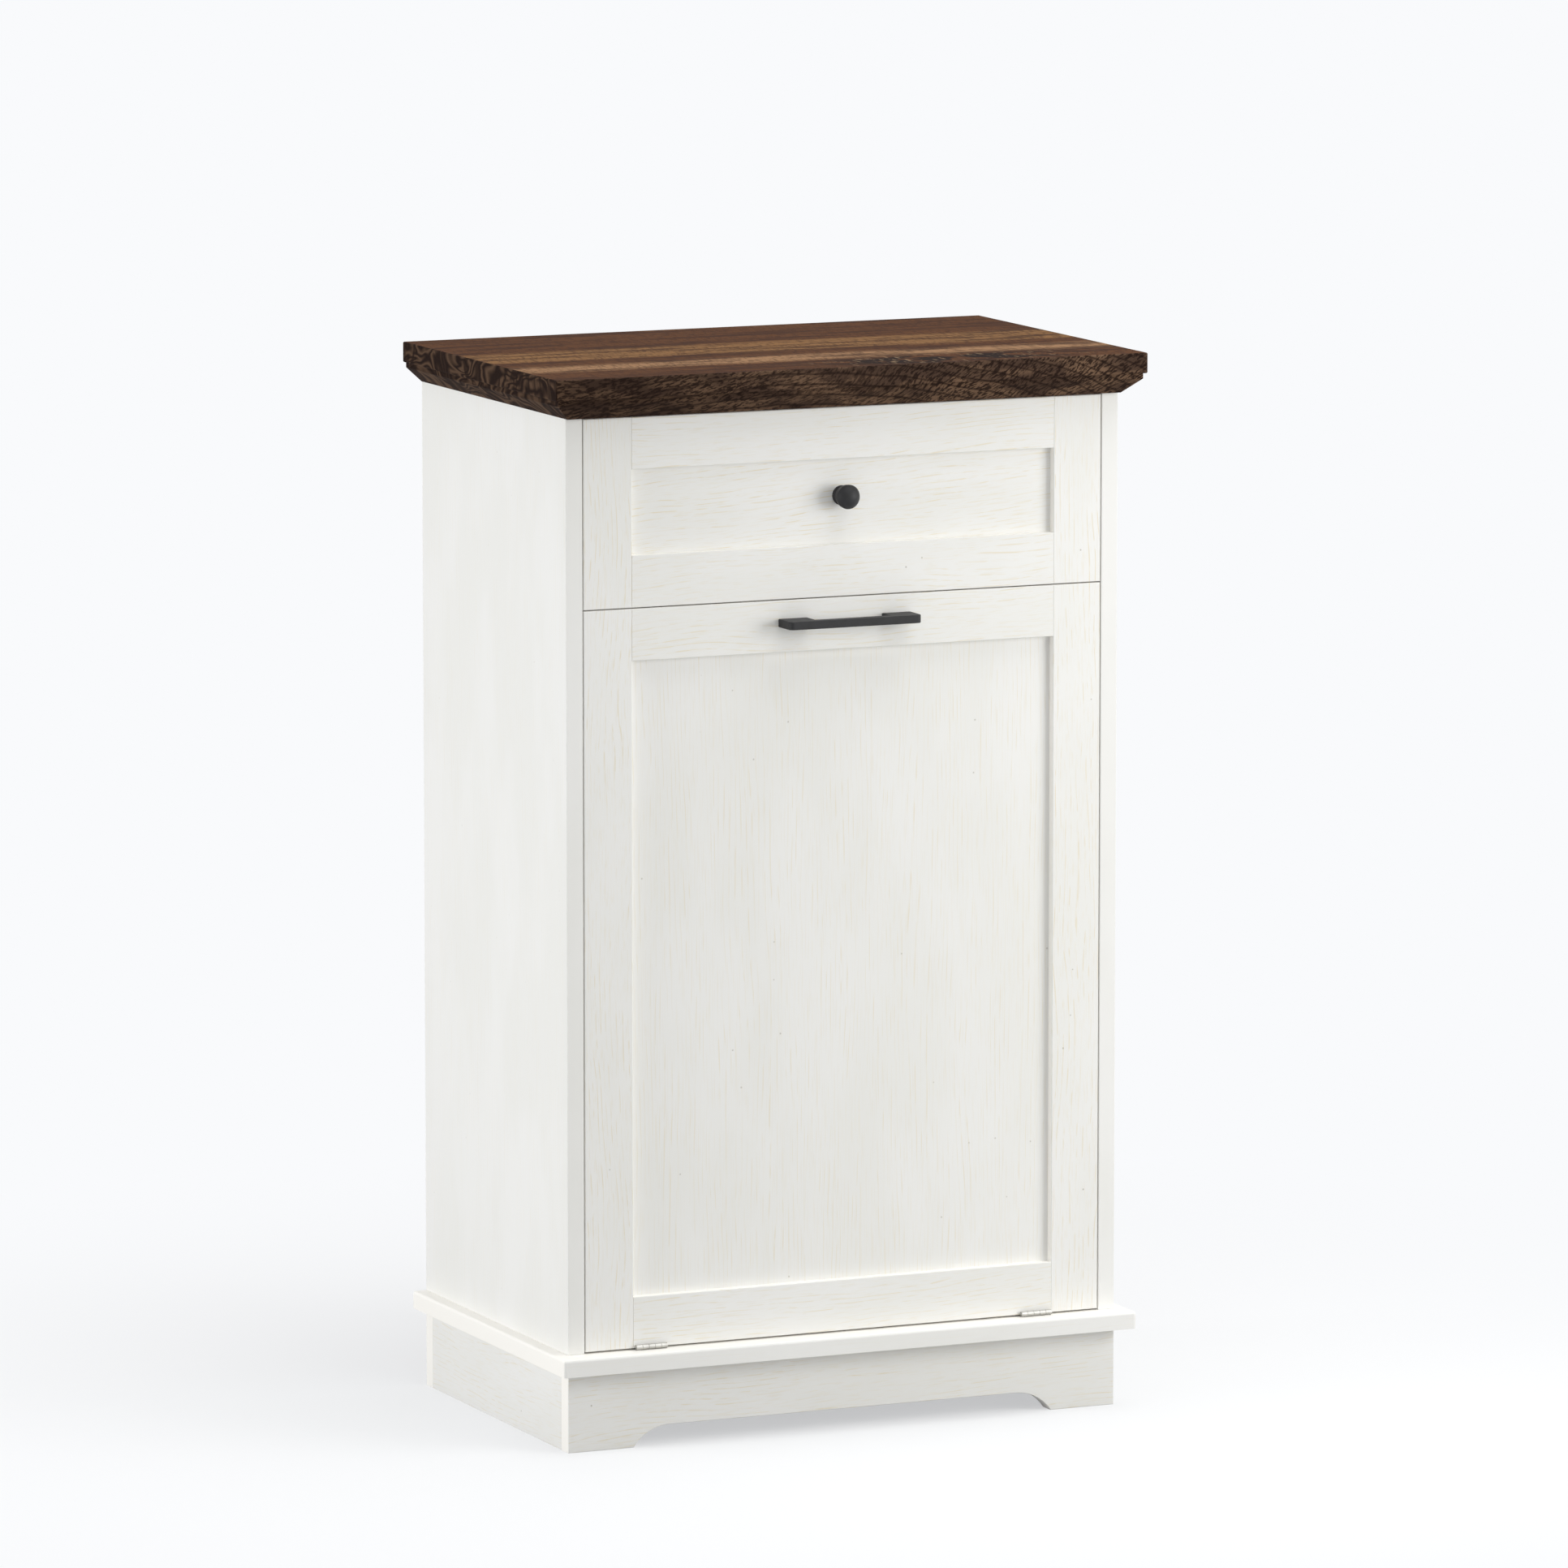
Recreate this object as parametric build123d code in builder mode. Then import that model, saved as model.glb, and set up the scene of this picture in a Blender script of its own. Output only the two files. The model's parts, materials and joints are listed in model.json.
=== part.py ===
from build123d import *
from math import cos, radians, sin, sqrt
import os

# Tilt-out trash cabinet with a drawer above the tilting bin door.
# Millimetres, +Z up, the front faces -Y, the left side is at -X.
# The origin lies on the floor under the centre of the overall footprint.

# Boards
board_thickness = 15.0
thin_board_thickness = 12.0
hardboard_thickness = 3.0
board_softening = 0.4

# Carcass
carcass_width = 510.0
carcass_depth = 318.0
plinth_height = 69.0
plinth_foot_width = 60.0
plinth_arch_height = 17.5
plinth_arch_radius = 40.0
base_side_overhang = 12.0
base_front_overhang = 20.0
base_nosing_radius = 2.5
carcass_height = 895.5
top_thickness = 17.5
top_side_overhang = 17.5
top_front_overhang = 22.3
top_softening = 0.8
moulding_height = 17.5
moulding_step = 3.0
moulding_chamfer_width = 14.2
moulding_chamfer_height = 12.8
back_groove_inset = 8.0
back_groove_depth = 5.0
top_rail_depth = 70.0

# Door and drawer fronts, inset flush with the side panels
front_gap = 1.0
hinge_gap = 1.5
front_thickness = 15.0
front_member_width = 44.0
front_softening = 0.5
drawer_front_height = 160.5
panel_recess = 7.0
panel_thickness = 5.0
panel_groove_depth = 8.0
panel_groove_clearance = 0.5
divider_setback = 1.0
divider_lap = 7.0

# Bar handle
handle_length = 122.0
handle_height = 7.0
handle_projection = 24.5
handle_bar_depth = 8.0
handle_foot_width = 26.4
handle_corner_radius = 4.0
handle_softening = 0.5
handle_drop = 19.0

# Mushroom knob
knob_base_diameter = 16.8
knob_base_thickness = 1.6
knob_neck_diameter = 9.0
knob_head_diameter = 21.0
knob_projection = 21.5
knob_dome_height = 6.0
knob_dome_steps = 3
knob_rim_thickness = 1.8
knob_flare_height = 4.0
knob_rise = 4.5

# Butt hinges in the gap under the door
hinge_length = 28.6
hinge_end_inset = 61.0
hinge_barrel_diameter = 4.5
hinge_leaf_thickness = 0.65
hinge_leaf_depth = 22.0
hinge_leaf_setback = 0.5
hinge_clearance = 0.3
hinge_knuckles = 5
hinge_knuckle_gap = 0.25
hinge_pin_diameter = 2.0
hinge_pin_clearance = 0.04
hinge_pin_stand = 0.4

# Crate that carries the bin behind the door
crate_side_clearance = 8.0
crate_back_clearance = 20.0
crate_bottom_clearance = 4.0
crate_front_height = 400.0
crate_rear_height = 312.0
crate_corner_radius = 25.0
crate_rail_height = 70.0
crate_rail_drop = 20.0
crate_lip_height = 60.0

# Quadrant stays that guide and stop the tilt
tilt_range = 35.0
stay_radius = 360.0
stay_start_angle = 9.0
stay_end_angle = 4.0
stay_width = 24.0
stay_thickness = 2.0
stay_pin_diameter = 6.0
stay_slot_clearance = 0.2
stay_pin_collar_width = 10.0
stay_pin_depth = 10.0
stay_pin_clearance = 0.3
stay_pin_depth_margin = 1.0

# Magnetic catch and its strike plate
catch_width = 46.0
catch_depth = 15.0
catch_height = 13.5
catch_corner_radius = 2.0
catch_pole_width = 34.0
catch_pole_thickness = 1.5
catch_pole_spacing = 6.0
catch_pole_reach = 1.2
catch_clearance = 0.3
strike_width = 38.0
strike_height = 13.0
strike_thickness = 1.0
strike_corner_cut = 2.0

# Drawer box
drawer_box_clearance = 8.0
drawer_top_clearance = 49.0
drawer_back_clearance = 37.0
drawer_bottom_rise = 10.0
drawer_groove_depth = 5.0

# Ball-bearing drawer slides, seen in section from the cabinet side inwards
slide_width = 12.7
slide_end_margin = 3.0
slide_overlap = 80.0
slide_setback = 2.0
slide_metal = 1.2
ball_diameter = 3.8
ball_clearance = 0.35
ball_offset = 6.4
ball_spread = 13.4
ball_pitch = 17.0
balls_per_row = 4
race_end_angle = 20.0
cage_metal = 0.8
cage_web_gap = 0.45
cage_reach = 1.9
cage_pocket_clearance = 0.15
cage_end_margin = 8.0
slide_stop_clearance = 0.3
slide_stop_height = 10.0

# Levels
base_top = plinth_height + board_thickness
door_bottom = base_top + hinge_gap
moulding_bottom = carcass_height - moulding_height
drawer_front_top = moulding_bottom - front_gap
drawer_front_bottom = drawer_front_top - drawer_front_height
door_top = drawer_front_bottom - front_gap
divider_bottom = door_top - divider_lap
divider_top = divider_bottom + board_thickness
top_rail_bottom = carcass_height - board_thickness
drawer_box_bottom = divider_top + drawer_box_clearance
drawer_box_top = top_rail_bottom - drawer_top_clearance
drawer_box_height = drawer_box_top - drawer_box_bottom
slide_level = drawer_box_bottom + drawer_box_height / 2
knob_level = (drawer_front_bottom + drawer_front_top) / 2 + knob_rise
handle_level = door_top - handle_drop
overall_height = carcass_height + top_thickness

# Half widths and depths
half_width = carcass_width / 2
inner_half_width = half_width - board_thickness
front_reach = max(handle_projection, top_front_overhang)
front_y = (front_reach - carcass_depth) / 2
back_y = front_y + carcass_depth
front_inner_y = front_y + front_thickness
back_panel_y = back_y - back_groove_inset - hardboard_thickness
front_half_width = inner_half_width - front_gap
rail_length = 2 * (front_half_width - front_member_width)
panel_y = front_y + panel_recess
divider_front_y = front_inner_y + divider_setback

# Hinge axis, on the door's outside face just above the base board
hinge_radius = hinge_barrel_diameter / 2
hinge_y = front_y - hinge_radius - hinge_clearance
hinge_z = base_top + hinge_radius + hinge_clearance

# Crate and drawer box
crate_half_width = inner_half_width - crate_side_clearance
crate_bottom = base_top + crate_bottom_clearance
crate_back_y = back_panel_y - crate_back_clearance
drawer_half_width = inner_half_width - slide_width
drawer_back_y = back_panel_y - drawer_back_clearance
drawer_box_length = drawer_back_y - front_inner_y
slide_front_y = front_inner_y + slide_setback
slide_length = drawer_back_y - slide_end_margin - slide_front_y
drawer_travel = slide_length - slide_overlap

SIDES = (("left", -1), ("right", 1))


def save(piece, label):
    """Label a finished piece and write it."""
    piece.part.label = label
    export_step(piece.part, f"parts/{label}.step")


def board(label, x_low, x_high, y_low, y_high, z_low, z_high):
    """A plain board with its edges eased."""
    with BuildPart() as piece:
        with BuildSketch(Plane.XY.offset(z_low)):
            with Locations(((x_low + x_high) / 2, (y_low + y_high) / 2)):
                Rectangle(x_high - x_low, y_high - y_low)
        extrude(amount=z_high - z_low)
        chamfer(piece.edges(), board_softening)
    save(piece, label)


def across(x):
    """A sketch plane square to X, whose axes are Y and Z."""
    return Plane.YZ.offset(x)


def facing(y):
    """A sketch plane square to Y, whose axes are X and Z, and whose normal is -Y."""
    return Plane.XZ.offset(-y)


def tilted_point(radius, angle):
    """A point in Y and Z on an arc about the hinge axis, its angle taken back from vertical."""
    return hinge_y + radius * sin(radians(angle)), hinge_z + radius * cos(radians(angle))


# Plinth: an arched front board, two side boards and a back board
def plinth_front():
    arch_centre_z = plinth_arch_height - plinth_arch_radius
    arch_start = half_width - plinth_foot_width
    arch_flat = arch_start - sqrt(plinth_arch_radius**2 - arch_centre_z**2)
    bend_angle = radians(45)
    bend_x = arch_flat + plinth_arch_radius * sin(bend_angle)
    bend_z = arch_centre_z + plinth_arch_radius * cos(bend_angle)
    with BuildPart() as piece:
        with BuildSketch(facing(front_y)):
            with Locations((0, plinth_height / 2)):
                Rectangle(carcass_width, plinth_height)
            with BuildLine():
                Line((-arch_start, 0), (arch_start, 0))
                ThreePointArc((arch_start, 0), (bend_x, bend_z), (arch_flat, plinth_arch_height))
                Line((arch_flat, plinth_arch_height), (-arch_flat, plinth_arch_height))
                ThreePointArc((-arch_flat, plinth_arch_height), (-bend_x, bend_z), (-arch_start, 0))
            make_face(mode=Mode.SUBTRACT)
        extrude(amount=-board_thickness)
        outer_face = piece.faces().sort_by(Axis.Y)[0]
        chamfer(outer_face.edges(), board_softening)
    save(piece, "plinth_front")


def plinth_sides_and_back():
    for side, sign in SIDES:
        outer_x = sign * half_width
        inner_x = sign * inner_half_width
        x_low, x_high = sorted((outer_x, inner_x))
        side_front_y = front_y + board_thickness
        side_back_y = back_y - board_thickness
        board(f"plinth_{side}", x_low, x_high, side_front_y, side_back_y, 0, plinth_height)
    plinth_back_y = back_y - board_thickness
    board("plinth_back", -half_width, half_width, plinth_back_y, back_y, 0, plinth_height)


# Base board: one moulded board under the carcass, proud of the plinth at the front and sides
def base_board():
    base_half_width = half_width + base_side_overhang
    base_front_y = front_y - base_front_overhang
    with BuildPart() as piece:
        with BuildSketch(Plane.XY.offset(plinth_height)):
            with Locations((0, (base_front_y + back_y) / 2)):
                Rectangle(2 * base_half_width, back_y - base_front_y)
        extrude(amount=board_thickness)
        front_uprights = piece.edges().filter_by(Axis.Z).group_by(Axis.Y)[0]
        fillet(front_uprights, base_nosing_radius)
        top_face = piece.faces().sort_by(Axis.Z)[-1]
        back_edge = top_face.edges().filter_by(Axis.X).sort_by(Axis.Y)[-1]
        nosing_edges = [edge for edge in top_face.edges() if edge != back_edge]
        fillet(nosing_edges, base_nosing_radius)
    save(piece, "base_board")


# Side panels: grooved near the back for the hardboard back, bored for the stay pins
def side_panels():
    pin_y, pin_z = tilted_point(stay_radius, stay_start_angle)
    for side, sign in SIDES:
        with BuildPart() as piece:
            with BuildSketch(Plane.XY.offset(base_top)):
                with Locations((sign * (half_width + inner_half_width) / 2, (front_y + back_y) / 2)):
                    Rectangle(board_thickness, carcass_depth)
            extrude(amount=carcass_height - base_top)
            chamfer(piece.edges(), board_softening)
            groove_x = sign * (inner_half_width + back_groove_depth / 2)
            with BuildSketch(Plane.XY.offset(base_top)):
                with Locations((groove_x, back_panel_y + hardboard_thickness / 2)):
                    Rectangle(back_groove_depth, hardboard_thickness)
            extrude(amount=carcass_height - base_top, mode=Mode.SUBTRACT)
            with BuildSketch(across(sign * inner_half_width)):
                with Locations((pin_y, pin_z)):
                    Circle(stay_pin_diameter / 2 + hinge_pin_clearance)
            extrude(amount=sign * stay_pin_depth, mode=Mode.SUBTRACT)
        save(piece, f"side_panel_{side}")


def back_panel():
    back_half_width = inner_half_width + back_groove_depth - panel_groove_clearance
    with BuildPart() as piece:
        with BuildSketch(Plane.XY.offset(base_top)):
            with Locations((0, back_panel_y + hardboard_thickness / 2)):
                Rectangle(2 * back_half_width, hardboard_thickness)
        extrude(amount=carcass_height - base_top)
    save(piece, "back_panel")


# Inner boards: the divider under the drawer and the two stretchers under the top
def inner_boards():
    divider_edges = (divider_front_y, back_panel_y, divider_bottom, divider_top)
    board("divider_shelf", -inner_half_width, inner_half_width, *divider_edges)
    front_rail_edges = (front_y, front_y + top_rail_depth, top_rail_bottom, carcass_height)
    board("top_rail_front", -inner_half_width, inner_half_width, *front_rail_edges)
    back_rail_edges = (back_panel_y - top_rail_depth, back_panel_y, top_rail_bottom, carcass_height)
    board("top_rail_back", -inner_half_width, inner_half_width, *back_rail_edges)


# Top: a thick board over three mitred, chamfered moulding strips
def top_board():
    top_half_width = half_width + top_side_overhang
    top_front_y = front_y - top_front_overhang
    with BuildPart() as piece:
        with BuildSketch(Plane.XY.offset(carcass_height)):
            with Locations((0, (top_front_y + back_y) / 2)):
                Rectangle(2 * top_half_width, back_y - top_front_y)
        extrude(amount=top_thickness)
        chamfer(piece.edges(), top_softening)
    save(piece, "top_board")


def top_mouldings():
    strip_half_width = half_width + top_side_overhang - moulding_step
    strip_front_y = front_y - top_front_overhang + moulding_step
    side_strip_width = strip_half_width - half_width
    mitre_y = strip_front_y + side_strip_width
    with BuildPart() as piece:
        with BuildSketch(Plane.XY.offset(moulding_bottom)):
            with BuildLine():
                Polyline(
                    (-strip_half_width, strip_front_y),
                    (strip_half_width, strip_front_y),
                    (half_width, mitre_y),
                    (half_width, front_y),
                    (-half_width, front_y),
                    (-half_width, mitre_y),
                    close=True,
                )
            make_face()
        extrude(amount=moulding_height)
        with BuildSketch(across(-strip_half_width)):
            with BuildLine():
                Polyline(
                    (strip_front_y, moulding_bottom),
                    (strip_front_y + moulding_chamfer_width, moulding_bottom),
                    (strip_front_y, moulding_bottom + moulding_chamfer_height),
                    close=True,
                )
            make_face()
        extrude(amount=2 * strip_half_width, mode=Mode.SUBTRACT)
    save(piece, "top_moulding_front")
    for side, sign in SIDES:
        with BuildPart() as piece:
            with BuildSketch(Plane.XY.offset(moulding_bottom)):
                with BuildLine():
                    Polyline(
                        (sign * strip_half_width, strip_front_y),
                        (sign * half_width, mitre_y),
                        (sign * half_width, back_y),
                        (sign * strip_half_width, back_y),
                        close=True,
                    )
                make_face()
            extrude(amount=moulding_height)
            with BuildSketch(facing(back_y)):
                with BuildLine():
                    Polyline(
                        (sign * strip_half_width, moulding_bottom),
                        (sign * (strip_half_width - moulding_chamfer_width), moulding_bottom),
                        (sign * strip_half_width, moulding_bottom + moulding_chamfer_height),
                        close=True,
                    )
                make_face()
            extrude(amount=back_y - strip_front_y, mode=Mode.SUBTRACT)
        save(piece, f"top_moulding_{side}")


# Framed fronts: stiles grooved for the panel and for the rails' stub tenons
def front_stiles(prefix, z_low, z_high):
    groove_mid_y = panel_y + panel_thickness / 2
    for side, sign in SIDES:
        outer_x = sign * front_half_width
        inner_x = sign * (front_half_width - front_member_width)
        with BuildPart() as piece:
            with BuildSketch(Plane.XY.offset(z_low)):
                with Locations(((outer_x + inner_x) / 2, front_y + front_thickness / 2)):
                    Rectangle(front_member_width, front_thickness)
            extrude(amount=z_high - z_low)
            outside_face = piece.faces().sort_by(Axis.Y)[0]
            inside_face = piece.faces().sort_by(Axis.Y)[-1]
            chamfer(outside_face.edges() + inside_face.edges(), front_softening)
            with BuildSketch(Plane.XY.offset(z_low)):
                with Locations((inner_x + sign * panel_groove_depth / 2, groove_mid_y)):
                    Rectangle(panel_groove_depth, panel_thickness)
            extrude(amount=z_high - z_low, mode=Mode.SUBTRACT)
        save(piece, f"{prefix}_stile_{side}")


def front_rail(label, z_low, z_high, groove_side):
    """A rail with a groove on the edge that faces the panel, and a stub tenon at each end."""
    groove_mid_y = panel_y + panel_thickness / 2
    groove_low = z_high - panel_groove_depth if groove_side > 0 else z_low
    tenon_low = z_low if groove_side > 0 else z_low + panel_groove_depth
    tenon_height = z_high - z_low - panel_groove_depth
    tenon_reach = panel_groove_depth - panel_groove_clearance
    with BuildPart() as piece:
        with BuildSketch(Plane.XY.offset(z_low)):
            with Locations((0, front_y + front_thickness / 2)):
                Rectangle(rail_length, front_thickness)
        extrude(amount=z_high - z_low)
        chamfer(piece.edges().filter_by(Axis.X), front_softening)
        with BuildSketch(Plane.XY.offset(tenon_low)):
            with Locations((0, groove_mid_y)):
                Rectangle(rail_length + 2 * tenon_reach, panel_thickness)
        extrude(amount=tenon_height)
        with BuildSketch(Plane.XY.offset(groove_low)):
            with Locations((0, groove_mid_y)):
                Rectangle(rail_length, panel_thickness)
        extrude(amount=panel_groove_depth, mode=Mode.SUBTRACT)
    save(piece, label)


def front_panel(label, z_low, z_high):
    """The recessed panel, with room to move in its grooves."""
    reach = panel_groove_depth - panel_groove_clearance
    opening_low = z_low + front_member_width
    opening_high = z_high - front_member_width
    with BuildPart() as piece:
        with BuildSketch(facing(panel_y)):
            with Locations((0, (opening_low + opening_high) / 2)):
                Rectangle(rail_length + 2 * reach, opening_high - opening_low + 2 * reach)
        extrude(amount=-panel_thickness)
    save(piece, label)


def framed_fronts():
    front_stiles("door", door_bottom, door_top)
    front_rail("door_rail_bottom", door_bottom, door_bottom + front_member_width, 1)
    front_rail("door_rail_top", door_top - front_member_width, door_top, -1)
    front_panel("door_panel", door_bottom, door_top)
    lower_rail_top = drawer_front_bottom + front_member_width
    upper_rail_bottom = drawer_front_top - front_member_width
    front_stiles("drawer", drawer_front_bottom, drawer_front_top)
    front_rail("drawer_rail_bottom", drawer_front_bottom, lower_rail_top, 1)
    front_rail("drawer_rail_top", upper_rail_bottom, drawer_front_top, -1)
    front_panel("drawer_panel", drawer_front_bottom, drawer_front_top)


# Bar handle: one flat bar whose ends turn back into two broad feet
def door_handle():
    hollow_width = handle_length - 2 * handle_foot_width
    hollow_depth = handle_projection - handle_bar_depth
    handle_bottom = handle_level - handle_height / 2
    with BuildPart() as piece:
        with BuildSketch(Plane.XY.offset(handle_bottom)) as plan:
            with Locations((0, front_y - handle_projection / 2)):
                Rectangle(handle_length, handle_projection)
            fillet(plan.vertices().group_by(Axis.Y)[0], handle_corner_radius)
            with Locations((0, front_y - hollow_depth / 2)):
                Rectangle(hollow_width, hollow_depth, mode=Mode.SUBTRACT)
        extrude(amount=handle_height)
        chamfer(piece.faces().filter_by(Axis.Z).edges(), handle_softening)
    save(piece, "door_handle")


# Mushroom knob: a turned profile with a foot, a waist and a domed head
def drawer_knob():
    head_radius = knob_head_diameter / 2
    neck_radius = knob_neck_diameter / 2
    base_radius = knob_base_diameter / 2
    rim_end = knob_projection - knob_dome_height
    rim_start = rim_end - knob_rim_thickness
    neck_end = rim_start - knob_flare_height
    dome = TangentArc((0, -knob_projection), (head_radius, -rim_end), tangent=(1, 0), mode=Mode.PRIVATE)
    dome_line = [dome @ (1 - i / knob_dome_steps) for i in range(knob_dome_steps + 1)]
    turning_plane = Plane(origin=(0, panel_y, knob_level), x_dir=(1, 0, 0), z_dir=(0, 0, 1))
    with BuildPart() as piece:
        with BuildSketch(turning_plane):
            with BuildLine():
                Line((0, 0), (base_radius, 0))
                Line((base_radius, 0), (base_radius, -knob_base_thickness))
                Line((base_radius, -knob_base_thickness), (neck_radius, -knob_base_thickness))
                Line((neck_radius, -knob_base_thickness), (neck_radius, -neck_end))
                Line((neck_radius, -neck_end), (head_radius, -rim_start))
                Line((head_radius, -rim_start), (head_radius, -rim_end))
                Polyline(*dome_line)
                Line((0, -knob_projection), (0, 0))
            make_face()
        revolve(axis=Axis((0, panel_y, knob_level), (0, 1, 0)))
    save(piece, "drawer_knob")


# Butt hinges: two rolled leaves that share one pin, folded shut in the gap under the door
def hinge_centre(sign):
    return sign * (half_width - hinge_end_inset - hinge_length / 2)


def hinge_leaf(label, centre_x, plate_low, owns_even_knuckles):
    leaf_front_y = front_y + hinge_leaf_setback
    leaf_back_y = front_y + hinge_leaf_depth
    knuckle_pitch = hinge_length / hinge_knuckles
    knuckle_length = knuckle_pitch - hinge_knuckle_gap
    owned = [i for i in range(hinge_knuckles) if (i % 2 == 0) == owns_even_knuckles]
    first_x = centre_x - hinge_length / 2 + knuckle_pitch / 2
    knuckle_xs = [first_x + i * knuckle_pitch for i in owned]
    with BuildPart() as piece:
        with BuildSketch(Plane.XY.offset(plate_low)):
            with Locations((centre_x, (leaf_front_y + leaf_back_y) / 2)):
                Rectangle(hinge_length, leaf_back_y - leaf_front_y)
            with Locations([(x, (hinge_y + leaf_front_y) / 2) for x in knuckle_xs]):
                Rectangle(knuckle_length, leaf_front_y - hinge_y)
        extrude(amount=hinge_leaf_thickness)
        for x in knuckle_xs:
            with BuildSketch(across(x - knuckle_length / 2)):
                with Locations((hinge_y, hinge_z)):
                    Circle(hinge_radius)
            extrude(amount=knuckle_length)
        with BuildSketch(across(centre_x - hinge_length / 2)):
            with Locations((hinge_y, hinge_z)):
                Circle(hinge_pin_diameter / 2 + hinge_pin_clearance)
        extrude(amount=hinge_length, mode=Mode.SUBTRACT)
    save(piece, label)


def hinges():
    for side, sign in SIDES:
        centre_x = hinge_centre(sign)
        hinge_leaf(f"hinge_leaf_base_{side}", centre_x, base_top, True)
        door_leaf_low = door_bottom - hinge_leaf_thickness
        hinge_leaf(f"hinge_leaf_door_{side}", centre_x, door_leaf_low, False)
        with BuildPart() as piece:
            with BuildSketch(across(centre_x - hinge_length / 2 - hinge_pin_stand)):
                with Locations((hinge_y, hinge_z)):
                    Circle(hinge_pin_diameter / 2)
            extrude(amount=hinge_length + 2 * hinge_pin_stand)
        save(piece, f"hinge_pin_{side}")


# Bin crate: two shaped sides, a floor and two cross boards, fixed behind the door
def bin_crate():
    crate_front_top = crate_bottom + crate_front_height
    crate_rear_top = crate_bottom + crate_rear_height
    side_inner_x = crate_half_width - thin_board_thickness
    for side, sign in SIDES:
        start_x = sign * side_inner_x
        with BuildPart() as piece:
            with BuildSketch(across(start_x)) as outline:
                with BuildLine():
                    Polyline(
                        (front_inner_y, crate_bottom),
                        (crate_back_y, crate_bottom),
                        (crate_back_y, crate_rear_top),
                        (front_inner_y, crate_front_top),
                        close=True,
                    )
                make_face()
                rear_top_corner = outline.vertices().group_by(Axis.X)[-1].sort_by(Axis.Y)[-1]
                fillet(rear_top_corner, crate_corner_radius)
            extrude(amount=sign * thin_board_thickness)
            chamfer(piece.faces().filter_by(Axis.X).edges(), board_softening)
        save(piece, f"bin_side_{side}")
    floor_top = crate_bottom + thin_board_thickness
    cross_front_y = crate_back_y - thin_board_thickness
    span = (-side_inner_x, side_inner_x)
    board("bin_floor", *span, front_inner_y, crate_back_y, crate_bottom, floor_top)
    board("bin_back_board", *span, cross_front_y, crate_back_y, floor_top, floor_top + crate_lip_height)
    rail_top = crate_rear_top - crate_rail_drop - crate_corner_radius
    board("bin_back_rail", *span, cross_front_y, crate_back_y, rail_top - crate_rail_height, rail_top)


# Quadrant stays: slotted strips curved about the hinge axis, each guided by a fixed pin
def quadrant_stays():
    slot_end_angle = stay_start_angle + tilt_range
    first_angle = stay_start_angle - stay_end_angle
    last_angle = slot_end_angle + stay_end_angle
    middle_angle = (first_angle + last_angle) / 2
    slot_ends = (tilted_point(stay_radius, stay_start_angle), tilted_point(stay_radius, slot_end_angle))
    strip_ends = (tilted_point(stay_radius, first_angle), tilted_point(stay_radius, last_angle))
    middle = tilted_point(stay_radius, middle_angle)
    slot_line = ThreePointArc(slot_ends[0], middle, slot_ends[1], mode=Mode.PRIVATE)
    strip_line = ThreePointArc(strip_ends[0], middle, strip_ends[1], mode=Mode.PRIVATE)
    for side, sign in SIDES:
        with BuildPart() as piece:
            with BuildSketch(across(sign * crate_half_width)):
                SlotArc(strip_line, stay_width)
                SlotArc(slot_line, stay_pin_diameter + 2 * stay_slot_clearance, mode=Mode.SUBTRACT)
            extrude(amount=sign * stay_thickness)
        save(piece, f"stay_quadrant_{side}")


def stay_pins():
    pin_y, pin_z = tilted_point(stay_radius, stay_start_angle)
    collar_length = crate_side_clearance - stay_thickness - stay_pin_clearance
    pin_length = crate_side_clearance - stay_pin_clearance
    shank_length = stay_pin_depth - stay_pin_depth_margin
    for side, sign in SIDES:
        with BuildPart() as piece:
            with BuildSketch(across(sign * (inner_half_width + shank_length))):
                with Locations((pin_y, pin_z)):
                    Circle(stay_pin_diameter / 2)
            extrude(amount=-sign * (shank_length + pin_length))
            with BuildSketch(across(sign * inner_half_width)):
                with Locations((pin_y, pin_z)):
                    RegularPolygon(stay_pin_collar_width / 2, 6, major_radius=False)
            extrude(amount=-sign * collar_length)
        save(piece, f"stay_pin_{side}")


# Magnetic catch: a rounded case with two steel pole strips that meet the strike plate
def magnetic_catch():
    pole_face_y = front_inner_y + strike_thickness + catch_clearance
    case_front_y = pole_face_y + catch_pole_reach
    catch_middle_z = divider_bottom - catch_height / 2
    with BuildPart() as piece:
        with BuildSketch(facing(case_front_y)):
            with Locations((0, catch_middle_z)):
                Rectangle(catch_width, catch_height)
        extrude(amount=-catch_depth)
        fillet(piece.edges().filter_by(Axis.Z), catch_corner_radius)
        with BuildSketch(facing(case_front_y)):
            with Locations((0, catch_middle_z)):
                with GridLocations(1, catch_pole_spacing, 1, 2):
                    Rectangle(catch_pole_width, catch_pole_thickness)
        extrude(amount=catch_pole_reach)
    save(piece, "magnetic_catch")
    with BuildPart() as piece:
        with BuildSketch(facing(front_inner_y)):
            with Locations((0, catch_middle_z)):
                Rectangle(strike_width, strike_height)
        extrude(amount=-strike_thickness)
        chamfer(piece.edges().filter_by(Axis.Y), strike_corner_cut)
    save(piece, "strike_plate")


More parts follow.
